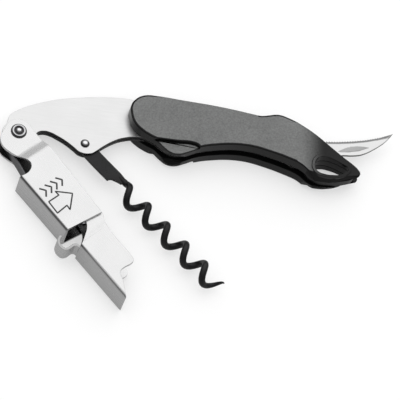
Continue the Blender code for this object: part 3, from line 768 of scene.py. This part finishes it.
def steel(name, colour, roughness, turn=0.0, grain=0.00016, contrast=0.04, bump=2.0e-6, painted_shade=0.0,
          until=None):
    """Worked steel: brushing lines along the piece, faint handling marks, and painted shade on cut edges
    and insides.

    With until, the painted shade inside ends at that distance, and painted shade darkens the web towards
    its bends.
    """
    made = Finish(name, roughness, 1.0)
    place = made.place(turn)
    lines = made.effect("grain", Vector=place, Line_Width=grain)
    marks = made.effect("handling", Vector=place)["Mask"]
    shade = made.level(lines["Shade"], 0.0, 1.0, 0.3, 0.7)
    base = made.mix(shade, grey(colour, 1 - contrast), grey(colour, 1.0))
    tint = made.mix(made.level(marks, 0.0, 0.25), base, grey(colour, 0.96))
    if painted_shade:
        share = made.stored("painted_shade")
        if until:
            spot = made.split(place)
            # Inside the channel the painted shade ends at until; on the web's outside painted shade
            # grows towards the bends into the cheeks.
            ending = made.level(spot["X"], 1.0, 0.0, until - 0.003, until + 0.003)
            height = made.math("ABSOLUTE", made.math("SUBTRACT", spot["Z"], MIDDLE))
            rise = made.level(height, 0.0, 0.9, 0.0040, 0.0057)
            bend = made.math("MULTIPLY", made.stored("web"), rise)
            share = made.math("MAXIMUM", made.math("MULTIPLY", share, ending),
                              made.math("MULTIPLY", bend, bend))
        # Mixes the painted shade into the colour, near black where its share is full.
        tint = made.mix(made.level(share, 0.0, painted_shade), tint, grey(colour, 0.03))
    rough = made.level(lines["Shade"], roughness - 0.05, roughness + 0.05, 0.3, 0.7)
    worn = made.math("ADD", rough, made.level(marks, -0.02, 0.04))
    normal = made.bump(lines["Height"], bump)
    return made.feed(Base_Color=tint, Roughness=worn, Normal=normal)


def polished_steel():
    made = Finish("polished_steel", 0.12, 1.0)
    place = made.place()
    marks = made.effect("handling", Vector=place, Patch_Size=0.002)["Mask"]
    shine = made.mix(marks, (0.70, 0.70, 0.71, 1), (0.80, 0.80, 0.81, 1))
    # Painted shade on the rivet heads' rings, from the stored share.
    base = made.mix(made.stored("painted_shade"), shine, (0.02, 0.02, 0.02, 1))
    lines = made.effect("grain", Vector=place, Line_Width=0.00008, Line_Length=0.001)
    return made.feed(
        Base_Color=base, Roughness=made.level(marks, 0.10, 0.22), Normal=made.bump(lines["Height"], 8e-7)
    )


def coating(colour):
    """Black non-stick coating with a fine orange peel and rubbed high spots."""
    made = Finish("black_coating", 0.3, 0.0, Specular_IOR_Level=0.25)
    place = made.place()
    skin = made.effect("moulded", Vector=place, Grain_Size=0.00035)
    marks = made.effect("handling", Vector=place, Patch_Size=0.004)["Mask"]
    base = made.mix(made.level(marks, 0.0, 0.6), (*colour, 1), grey(colour, 2.2))
    return made.feed(
        Base_Color=base, Roughness=made.level(skin["Shade"], 0.24, 0.42, 0.3, 0.7),
        Normal=made.bump(skin["Height"], 1.2e-5),
    )


def moulding(name, colour):
    """Smooth glossy black moulding."""
    made = Finish(name, 0.2, 0.0, Specular_IOR_Level=0.25)
    place = made.place()
    marks = made.effect("handling", Vector=place, Patch_Size=0.006)["Mask"]
    skin = made.effect("moulded", Vector=place, Grain_Size=0.0012)
    base = made.mix(marks, (*colour, 1), grey(colour, 1.5))
    return made.feed(
        Base_Color=base, Roughness=made.level(marks, 0.16, 0.28), Normal=made.bump(skin["Height"], 6e-6)
    )


def grip_finish(s):
    """Grained grey face inside a smooth black rim; towards the tail the face gives way to the smooth
    black finish, and that darkening is painted shade where the tail curves down.
    """
    made = Finish("moulded_grip", 0.5, 0.0, Specular_IOR_Level=0.22)
    place = made.place()
    # Towards the tail the grained face gives way to the smooth black finish; its smoothness is real, its
    # darkening there is painted shade.
    face_before_smooth_shaded_tail = made.level(made.split(place)["X"], 1.0, 0.0, s.smooth_shaded_tail_start, s.smooth_shaded_tail_end)
    face_before_smooth_shaded_tail.node.interpolation_type = "SMOOTHSTEP"
    mask = made.math("MULTIPLY", made.level(made.stored("face"), 0.0, 1.0, 0.75, 1.0), face_before_smooth_shaded_tail)
    skin = made.effect("moulded", Vector=place, Grain_Size=s.grain)
    marks = made.effect("handling", Vector=place, Patch_Size=0.012)["Mask"]
    speckle = made.level(skin["Shade"], 0.74, 1.22, 0.3, 0.7)
    tone = made.math("MULTIPLY", speckle, made.level(marks, 0.92, 1.05))
    toned = made.node("ShaderNodeVectorMath", {0: tuple(s.face_colour), "Scale": tone},
                      operation="SCALE")
    base = made.mix(mask, (*s.rim_colour, 1), toned)
    rough = made.node("ShaderNodeMix", {"Factor": mask, 2: made.level(marks, 0.15, 0.26),
                                        3: made.level(skin["Shade"], 0.46, 0.60, 0.3, 0.7)})
    height = made.math("MULTIPLY", skin["Height"], mask)
    return made.feed(Base_Color=base, Roughness=rough, Normal=made.bump(height, 3.5e-5))


def enamel():
    made = Finish("marking_enamel", 0.45, 0.0)
    skin = made.effect("moulded", Vector=made.place(), Grain_Size=0.0001)
    base = made.mix(skin["Shade"], (0.03, 0.03, 0.03, 1), (0.07, 0.07, 0.07, 1))
    return made.feed(Base_Color=base, Normal=made.bump(skin["Height"], 3e-6))


FINISHES = {}


def finish(name):
    """The named finish, made once from the settings."""
    scene = bpy.context.scene
    sheet, grip, worm = scene.corkscrew_steel, scene.corkscrew_grip, scene.corkscrew_worm
    folded_end = (Matrix.Rotation(-LEVER_TURN, 3, "Z") @ LEVER_PIVOT).x + 0.050
    makers = {
        "satin_steel": lambda: steel("satin_steel", sheet.frame_colour, 0.34,
                                     grain=sheet.grain_width, contrast=0.10, painted_shade=0.97),
        "lever_steel": lambda: steel("lever_steel", sheet.lever_colour, 0.26, LEVER_TURN,
                                     grain=sheet.grain_width, contrast=0.03, painted_shade=0.85,
                                     until=folded_end),
        "blade_steel": lambda: steel("blade_steel", (0.66, 0.66, 0.66), 0.28, BLADE_TURN,
                                     grain=0.00010, painted_shade=0.9),
        # spring_steel is very dark: its colour also paints the shade where the leaf spring sits inside
        # the lever's channel.
        "spring_steel": lambda: steel("spring_steel", (0.13, 0.13, 0.135), 0.3, LEVER_TURN),
        "polished_steel": polished_steel,
        "black_coating": lambda: coating(worm.colour),
        "black_moulding": lambda: moulding("black_moulding", grip.rim_colour),
        "moulded_grip": lambda: grip_finish(grip),
        "marking_enamel": enamel,
    }
    if name not in FINISHES:
        FINISHES[name] = makers[name]()
    return FINISHES[name]


# ---------------------------------------------------------------- pieces


def mark_face(mesh, rim):
    """Marks the grained part of a scale's outward faces. Its flat part stops short of the edge."""
    bm = bmesh.new()
    bm.from_mesh(mesh)
    marked = bm.verts.layers.float.new("face")
    slivers, flat_area = 1e-7, 1.5e-5
    outward = [face for face in bm.faces if looks_out(face, 0.985) and face.calc_area() > slivers]
    flat = [face for face in outward if looks_out(face, 0.998) and face.calc_area() > flat_area]
    bmesh.ops.inset_region(bm, faces=flat, thickness=rim, use_even_offset=False, use_boundary=True)
    for face in outward:
        for vertex in face.verts:
            vertex[marked] = 1.0
    bm.to_mesh(mesh)
    bm.free()


def mark_corners(mesh, share, name="painted_shade"):
    """Stores a share for each face on its corners. By default it is the share of painted shade."""
    marked = mesh.attributes.new(name, "FLOAT", "CORNER")
    for face in mesh.polygons:
        for loop in face.loop_indices:
            marked.data[loop].value = share(face)


def cut_wall_painted_shade(face):
    """Painted shade on the faces that the press cut, which stand square to the sheet. It is darkest
    along the belly, where those walls lie in shade.
    """
    steep = 1.0 - min(1.0, max(0.0, (abs(face.normal.z) - 0.3) / 0.5))
    return steep * (1.0 if face.normal.y < 0.25 else 0.35)


CHEEK_OUTSIDE = 0.0047
LIP_FROM, LIP_TO, LIP_TOP = 0.0365, 0.0450, -0.0105


def channel_painted_shade(face):
    """Painted shade on the faces that look into the folded channel and on the cheeks' cut edges, where
    the real ones lie in shade, and, less, on the lip's cut edge.
    """
    spot, square = on_lever(face.center), abs(face.normal.z)
    to_web = -face.normal.dot(WEB_OUT)
    if abs(face.center.z - MIDDLE) > CHEEK_OUTSIDE and square < 0.9 and to_web > -0.9:
        return 0.8
    # Half painted shade on the lip's cut edge dims its highlight.
    if LIP_FROM < spot.x < LIP_TO and spot.y < LIP_TOP:
        return 0.5 if square > 0.8 else 0.0
    inward = face.normal.z * (MIDDLE - face.center.z) > 0 and square > 0.8
    return 1.0 if inward or to_web > 0.8 else 0.0


def web_outside(face):
    """The outside of the bent web, which the lever's finish paints with shade towards the cheeks."""
    return 1.0 if face.normal.dot(WEB_OUT) > 0.6 else 0.0


def ring_painted_shade(middle, bands):
    """A share of painted shade for each face by how far it lies from the middle: the first band that
    holds it.
    """
    def share(face):
        away = (face.center - middle).to_2d().length
        return next((painted_shade for limit, painted_shade in bands if away <= limit), 0.0)
    return share


def rivet_line(pin, half, head):
    """Profile of a pin with the same head at both ends, as (radius, 0, height)."""
    upper = [(radius, MIDDLE + half + height) for radius, height in head]
    lower = [(radius, 2 * MIDDLE - height) for radius, height in reversed(upper)]
    shank = [(pin, MIDDLE + half), (pin, MIDDLE - half)]
    return [(radius, 0, height) for radius, height in [*upper, *shank, *lower]]


def dome(radius, height, base=0.0):
    steps = [math.radians(step) for step in (90, 78, 66, 54, 42, 30, 18, 8, 0)]
    return [(radius * math.cos(a) if a < 1.5 else 0.0, base + height * math.sin(a)) for a in steps]


def boss(last, step):
    """The round end about a pivot, in millimetres, from 100 degrees to the last angle."""
    angles = [math.radians(degrees) for degrees in range(100, last + 1, step)]
    return [(BOSS * math.cos(angle), BOSS * math.sin(angle)) for angle in angles]


def worm_shank():
    """Flat shank about the worm's pivot, in millimetres."""
    return [(16.2, 2.4, 1), (4.5, 2.4), *boss(260, 20), (4.5, -3.0), (14.9, -3.0, 1), (15.3, -1.9),
            (16.6, -1.1), (19.0, -0.2, 1), (19.6, 2.0, 1)]


SPINE = [(7.6, -2.7), (10.5, -2.9), (13.2, -3.3), (15.9, -4.2), (18.8, -4.8), (20.8, -4.8), (23.0, -4.5),
         (26.4, -3.7), (29.9, -2.6), (32.7, -1.2), (34.5, -0.06)]
EDGE = [(7.6, 4.1), (8.5, 4.0), (13.5, 2.55), (19.1, 1.35), (23.8, 0.55), (28.8, 0.15), (32.3, 0.0),
        (34.5, 0.06)]
NICK_FROM, NICK_TO = (11.7, -1.5), (23.7, -3.05)
NICK_BELLY, NICK_HEIGHT, NICK_CREST = 0.75, 2.1, 0.85


def eased_line(points, step=0.12, reach=9):
    """Heights along the line at even steps, each one the mean of its neighbours within reach."""
    start, end = points[0][0], points[-1][0]
    count = round((end - start) / step)
    xs = [start + (end - start) * i / count for i in range(count + 1)]
    raw = [interpolated(points, x) for x in xs]
    heights = []
    for i in range(len(raw)):
        window = min(reach, i, len(raw) - 1 - i)
        part = raw[i - window:i + window + 1]
        heights.append(sum(part) / len(part))
    return list(zip(xs, heights))


def nick_depth(x, y, depth):
    """Depth of the nail nick, a crescent whose upper side slopes and whose lower side is steep."""
    length = NICK_TO[0] - NICK_FROM[0]
    t = (x - NICK_FROM[0]) / length
    if not 0 < t < 1:
        return 0.0
    floor = NICK_FROM[1] + (NICK_TO[1] - NICK_FROM[1]) * t - NICK_BELLY * math.sin(math.pi * t)
    crest = floor + NICK_HEIGHT * math.sin(math.pi * t) ** NICK_CREST
    if not floor < y < crest:
        return 0.0
    rise = (y - floor) / (crest - floor)
    return depth * min(1.0, rise * 6.0) * (1 - rise) * math.sin(math.pi * t) ** 0.5


def blade_mesh(s):
    """Loft from spine to edge: full thickness, then the grind, with the nail nick in its upper face."""
    spine, edge = eased_line(SPINE), eased_line(EDGE)
    half, grind = s.sheet / 2 / MM, s.grind / MM
    bm = bmesh.new()
    weight = bm.verts.layers.float.new("edge")
    rows = []
    for (x, low), (_, high) in zip(spine, edge):
        width = high - low
        reach = min(grind, width * 0.45)
        cut = [high, high - reach * 0.2, high - reach * 0.6, high - reach]
        body = [cut[-1] + (low + 0.12 * min(1, width) - cut[-1]) * i / 24 for i in range(1, 25)]
        levels = [*cut, *body, low]
        ring = []
        for side in (1, -1):
            for i, y in list(enumerate(levels))[::side]:
                to_edge = (high - y) / reach if reach else 1
                thick = half * (0.14 + 0.86 * min(1.0, to_edge))
                if i == len(levels) - 1:
                    thick = half * 0.72
                if side > 0:
                    thick -= nick_depth(x, y, s.nick_depth / MM)
                vert = bm.verts.new((x * MM, y * MM, MIDDLE + side * thick * MM))
                vert[weight] = (1.0, 0.75, 0.2)[i] * min(1.0, width / 3) ** 2 if i < 3 else 0.0
                ring.append(vert)
        rows.append(ring)
    for first, second in zip(rows, rows[1:]):
        for i in range(len(first)):
            j = (i + 1) % len(first)
            bm.faces.new((first[i], first[j], second[j], second[i]))
    bm.faces.new(rows[0][::-1])
    bm.faces.new(rows[-1])
    bmesh.ops.recalc_face_normals(bm, faces=bm.faces)
    return new_object("foil_cutter", mesh_from("foil_cutter", bm))


def blade_painted_shade(face):
    """Painted shade on the blade's faces: its grind, its nail nick and its narrow sides."""
    x, y = face.center.x / MM, face.center.y / MM
    if abs(face.normal.z) < 0.5 and x > 7.6:
        return 0.85
    if x > 7.6 and interpolated(EDGE, x) - y < 1.25:
        return 0.62
    if face.normal.z > 0 and nick_depth(x, y, 1.0) > 0:
        return 0.48
    return 0.0


# ---------------------------------------------------------------- operators


class CORKSCREW_OT_steelwork(bpy.types.Operator):
    """Ease the edges of the frame plates, the lever halves and the tail block"""

    bl_idname = "corkscrew.steelwork"
    bl_label = "Steelwork"

    def execute(self, context):
        width = context.scene.corkscrew_steel.easing
        for node, slot in STEELWORK.items():
            bent = "lever" in node
            s = context.scene.corkscrew_steel
            piece = eased_copy(f"{node}_eased", node, width, 40, s.bend * bent, s.joggle)
            # Painted shade: on the frame's cut walls, and on the levers' channel insides and cut edges;
            # the web mask below carries the painted shade of the web's bends.
            mark_corners(piece.data, channel_painted_shade if bent else cut_wall_painted_shade)
            mark_corners(piece.data, web_outside, "web")
            body = frame["nodes"][node]["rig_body"]
            finish_piece(piece, finish(slot), body, slot, node)
        return {"FINISHED"}


class CORKSCREW_OT_hidden_parts(bpy.types.Operator):
    """Give the springs, spacers, pins and washers their finishes"""

    bl_idname = "corkscrew.hidden_parts"
    bl_label = "Springs, pins and washers"

    def execute(self, context):
        for node, slot in PLAIN_NODES.items():
            mesh = frame["nodes"][node].data
            mesh.materials.clear()
            mesh.materials.append(finish(slot))
        return {"FINISHED"}


class CORKSCREW_OT_grip(bpy.types.Operator):
    """Make the two moulded scales, with a grained face and a smooth rim"""

    bl_idname = "corkscrew.grip"
    bl_label = "Grip scales"

    def execute(self, context):
        width = context.scene.corkscrew_steel.easing
        for node in ("scale_upper", "scale_lower"):
            piece = moulded_copy(f"{node}_moulded", node, width)
            mark_face(piece.data, context.scene.corkscrew_grip.rim_width)
            finish_piece(piece, finish("moulded_grip"), "frame", "moulded_grip", node)
        return {"FINISHED"}


class CORKSCREW_OT_rivets(bpy.types.Operator):
    """Turn the lever's rivet and the worm's rivet"""

    bl_idname = "corkscrew.rivets"
    bl_label = "Rivets"

    def execute(self, context):
        s = context.scene.corkscrew_rivets
        tree = rivet_tree()
        rim = s.lever_head
        lever = [*dome(0.00112, 0.00075, 0.0004), (0.00118, 0.00030), (0.00150, 0.00024),
                 (0.00168, 0.00058), (0.00195, 0.00070), (0.00225, 0.00066), (rim - 0.00032, 0.00050),
                 (rim - 0.00022, 0.00022), (rim - 0.00006, 0.00018), (rim, 0.00010), (rim, 0.0)]
        worm = [*dome(s.worm_head * 0.86, 0.00072, 0.0001), (s.worm_head * 0.93, 0.00006),
                (s.worm_head, 0.00005), (s.worm_head, 0.0)]
        # Rings of painted shade on the rivet heads, as (outer radius, share).
        lever_painted_shade_rings = ((0.0007, 0.0), (0.00125, 0.55), (0.0017, 0.95), (0.0023, 0.3), (0.0040, 0.88))
        worm_painted_shade_rings = ((0.0005, 0.0), (0.0009, 0.35), (0.0012, 0.75), (0.0040, 0.95))
        jobs = (("lever_pivot_rivet", LEVER_PIVOT, s.lever_pin, lever, lever_painted_shade_rings),
                ("worm_pivot_rivet", PIVOTS["worm_pivot"], s.worm_pin, worm, worm_painted_shade_rings))
        for node, spot, pin, head, bands in jobs:
            half = (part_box(node)[1][2] - MIDDLE) - max(height for _, height in head)
            piece = polyline(f"{node}_turned", rivet_line(pin, half, head))
            grown_by(tree, piece, Matrix.Translation((spot.x, spot.y, 0)), Sides=s.sides,
                     Material=finish("polished_steel"))
            smooth(piece, 40)
            mark_corners(piece.data, ring_painted_shade(spot, bands))
            finish_piece(piece, finish("polished_steel"), "frame", "polished_steel", node)
        return {"FINISHED"}


class CORKSCREW_OT_worm(bpy.types.Operator):
    """Sweep the worm's wire and join it to its flat shank"""

    bl_idname = "corkscrew.worm"
    bl_label = "Worm"

    def execute(self, context):
        s = context.scene.corkscrew_worm
        coat = finish("black_coating")
        half = 0.0006
        shank = plate("worm_coated", [worm_shank(), ring_points(PIN_HOLE)], MIDDLE - half, MIDDLE + half)
        round_edges(shank, 0.00018, 50)
        wire = polyline("worm_wire", [(0, 0, 0), (0.001, 0, 0)])
        lie = Matrix.Translation((s.start, -s.drop, MIDDLE))
        grown_by(worm_tree(), wire, lie, Pitch=s.pitch, Turns=s.turns, Helix_Radius=s.radius,
                 Wire_Radius=s.wire / 2, Material=coat)
        piece = united(shank, wire)
        piece.data.transform(placed(PIVOTS["worm_pivot"], WORM_TURN))
        smooth(piece, 40)
        finish_piece(piece, coat, "worm", "black_coating", "worm")
        return {"FINISHED"}


class CORKSCREW_OT_blade(bpy.types.Operator):
    """Grind the foil cutter, cut its teeth and its nail nick"""

    bl_idname = "corkscrew.blade"
    bl_label = "Foil cutter"

    def execute(self, context):
        s = context.scene.corkscrew_blade
        metal = finish("blade_steel")
        blade = grown_by(teeth_tree(), blade_mesh(s), Matrix.Identity(4), Tooth_Pitch=s.tooth_pitch,
                         Tooth_Depth=s.tooth_depth, Material=metal)
        outline = [*boss(270, 17), (4.5, -2.6), (9.0, -2.6, 1), (9.0, 3.4, 1), (4.5, 3.2)]
        half = s.sheet * 0.49
        tang = plate("tang", [outline, ring_points(PIN_HOLE)], MIDDLE - half, MIDDLE + half)
        piece = united(blade, tang)
        # Painted shade on the blade's grind, nail nick and narrow sides.
        mark_corners(piece.data, blade_painted_shade)
        piece.data.transform(placed(PIVOTS["blade_pivot"], BLADE_TURN))
        smooth(piece, 25)
        finish_piece(piece, metal, "foil_blade", "blade_steel", "foil_blade")
        return {"FINISHED"}


class CORKSCREW_OT_markings(bpy.types.Operator):
    """Lay the enamel arrow and the row of chevrons on the lever's near cheek"""

    bl_idname = "corkscrew.markings"
    bl_label = "Lever markings"

    def execute(self, context):
        tree = marking_tree()
        face = frame["nodes"]["upper_lever"]
        top = max(vertex.co.z for vertex in face.data.vertices)
        arrow = [(27.75, -10.1), (27.8, -5.6), (26.0, -5.7), (30.0, -1.3), (34.3, -6.0), (32.4, -5.8),
                 (32.8, -10.4)]
        chevron = [(22.0, -9.6), (23.9, -8.1), (25.8, -9.6)]
        turn = placed(LEVER_PIVOT, LEVER_TURN)
        jobs = (("lever_arrow", arrow, True, 1, 0.0, 0.00052),
                ("lever_chevrons", chevron, False, 4, 0.0024, 0.00062))
        for name, points, closed, count, spacing, stroke in jobs:
            corners = with_shoulders(points, closed)
            line = polyline(name, [(x * MM, y * MM, top) for x, y in corners], closed)
            grown_by(tree, line, turn, Stroke_Width=stroke, Stroke_Height=0.00005, Count=count,
                     Spacing=spacing, Material=finish("marking_enamel"))
            finish_piece(line, finish("marking_enamel"), "upper_lever", "black_coating")
        return {"FINISHED"}


def look_from(right, up, back, centre, distance):
    """A camera's place in the world from its own three directions."""
    turn = Matrix((right, up, back)).transposed().to_4x4()
    return Matrix.Translation(centre + back * distance) @ turn


def floor_finish(colour, mirrored):
    """Pale table that glows by itself, which paints light into the shadows on it, and that polished
    metal mirrors as a darker one, a painted darker reflection.
    """
    made = Finish("pale_floor", 0.9, 0.0, Specular_IOR_Level=0.0, Emission_Strength=1.0)
    skin = made.effect("handling", Vector=made.place(), Patch_Size=0.3)["Mask"]
    # glowing is the floor's own glow: painted light that lifts the shadows on it.
    lit, glowing = 0.52, 0.55
    base = made.mix(skin, grey(colour, lit), grey(colour, lit - 0.005))
    # Seen in metal the floor is dimmer: a painted darker reflection.
    glossy = made.node("ShaderNodeLightPath", out="Is Glossy Ray")
    glow = made.mix(glossy, grey(colour, glowing), grey(colour, glowing * mirrored))
    shown = made.mix(glossy, base, grey(colour, lit * mirrored))
    return made.feed(Base_Color=shown, Emission_Color=glow)


def area_light(name, spot, target, size, radiance, mirrored=True):
    data = bpy.data.lights.new(name, "AREA")
    data.shape, data.size, data.size_y = "RECTANGLE", *size
    data.energy = radiance * math.pi * size[0] * size[1]
    lamp = new_object(name, data)
    lamp.location = spot
    lamp.rotation_mode = "QUATERNION"
    lamp.rotation_quaternion = (Vector(target) - Vector(spot)).to_track_quat("-Z", "Y")
    lamp.visible_glossy = mirrored
    return lamp


PANEL_SPOT = (0.05, 0.55, 0.75)
FLOOR_REACH, FLOOR_DEPTH, FLOOR_GAP = 3000, 0.02, 0.0002


def soft_room(ceiling, horizon):
    """A room that is pale round the panel and darker elsewhere, which outlines bright metal."""
    world = bpy.data.worlds.new("soft_room")
    world.use_nodes = True
    nodes, links = world.node_tree.nodes, world.node_tree.links
    way, nearness, level = (nodes.new(kind) for kind in
                            ("ShaderNodeTexCoord", "ShaderNodeVectorMath", "ShaderNodeMapRange"))
    level.interpolation_type = "SMOOTHSTEP"
    for key, value in (("From Min", 0.15), ("From Max", 0.75), ("To Min", horizon), ("To Max", ceiling)):
        level.inputs[key].default_value = value
    nearness.operation = "DOT_PRODUCT"
    nearness.inputs[1].default_value = Vector(PANEL_SPOT).normalized()
    links.new(way.outputs["Generated"], nearness.inputs[0])
    links.new(nearness.outputs["Value"], level.inputs["Value"])
    links.new(level.outputs["Result"], nodes["Background"].inputs["Strength"])
    nodes["Background"].inputs["Color"].default_value = (1, 1, 1, 1)
    return world


class CORKSCREW_OT_stage(bpy.types.Operator):
    """Set the pale floor, the soft lights and the camera"""

    bl_idname = "corkscrew.stage"
    bl_label = "Stage"

    def execute(self, context):
        s = context.scene.corkscrew_stage
        signs = ((-1, -1), (1, -1), (1, 1), (-1, 1))
        corners = [(x * FLOOR_REACH, y * FLOOR_REACH, 1) for x, y in signs]
        floor = plate("floor", [corners], -FLOOR_DEPTH, -FLOOR_GAP)
        floor.data.materials.append(floor_finish(s.floor_colour, s.floor_mirrored))

        context.scene.world = soft_room(s.room, s.horizon)
        area_light("top_light", PANEL_SPOT, (0, 0, 0), (1.5, 1.1), s.key)
        area_light("fill_light", (-0.2, -0.3, 1.2), (0, 0, 0), (1.6, 1.6), s.fill, mirrored=False)
        context.scene.view_settings.view_transform = "Standard"

        right, up = Vector((0.9737, 0.0287, 0.215)).normalized(), Vector((-0.1254, 0.8814, 0.45))
        back = right.cross(up).normalized()
        up = back.cross(right)
        centre = Vector((-0.0049, -0.0269, 0.006))
        data = bpy.data.cameras.new("view")
        data.lens = data.sensor_width * s.distance / s.width
        data.clip_end = 20
        camera = new_object("view", data)
        camera.matrix_world = look_from(right, up, back, centre, s.distance)
        context.scene.camera = camera
        return {"FINISHED"}


STEPS = (CORKSCREW_OT_steelwork, CORKSCREW_OT_hidden_parts, CORKSCREW_OT_grip, CORKSCREW_OT_rivets,
         CORKSCREW_OT_worm, CORKSCREW_OT_blade, CORKSCREW_OT_markings, CORKSCREW_OT_stage)


class CORKSCREW_PT_looks(bpy.types.Panel):
    """Steps and settings of the corkscrew's looks"""

    bl_idname = "CORKSCREW_PT_looks"
    bl_label = "Lever corkscrew"
    bl_space_type = "VIEW_3D"
    bl_region_type = "UI"
    bl_category = "Corkscrew"

    def draw(self, context):
        for step in STEPS:
            self.layout.operator(step.bl_idname)
        for name, group in SETTINGS.items():
            box = self.layout.box()
            box.label(text=group.__doc__)
            for key in group.__annotations__:
                box.prop(getattr(context.scene, name), key)


SETTINGS = {
    "corkscrew_steel": SteelSettings,
    "corkscrew_rivets": RivetSettings,
    "corkscrew_worm": WormSettings,
    "corkscrew_blade": BladeSettings,
    "corkscrew_grip": GripSettings,
    "corkscrew_stage": StageSettings,
}


def register():
    for group in SETTINGS.values():
        bpy.utils.register_class(group)
    for name, group in SETTINGS.items():
        setattr(bpy.types.Scene, name, PointerProperty(type=group))
    for step in (*STEPS, CORKSCREW_PT_looks):
        bpy.utils.register_class(step)


def unregister():
    for step in reversed((*STEPS, CORKSCREW_PT_looks)):
        bpy.utils.unregister_class(step)
    for name, group in SETTINGS.items():
        delattr(bpy.types.Scene, name)
        bpy.utils.unregister_class(group)


def main():
    register()
    bpy.ops.corkscrew.steelwork()
    bpy.ops.corkscrew.hidden_parts()
    bpy.ops.corkscrew.grip()
    bpy.ops.corkscrew.rivets()
    bpy.ops.corkscrew.worm()
    bpy.ops.corkscrew.blade()
    bpy.ops.corkscrew.markings()
    bpy.ops.corkscrew.stage()


if __name__ == "__main__":
    main()
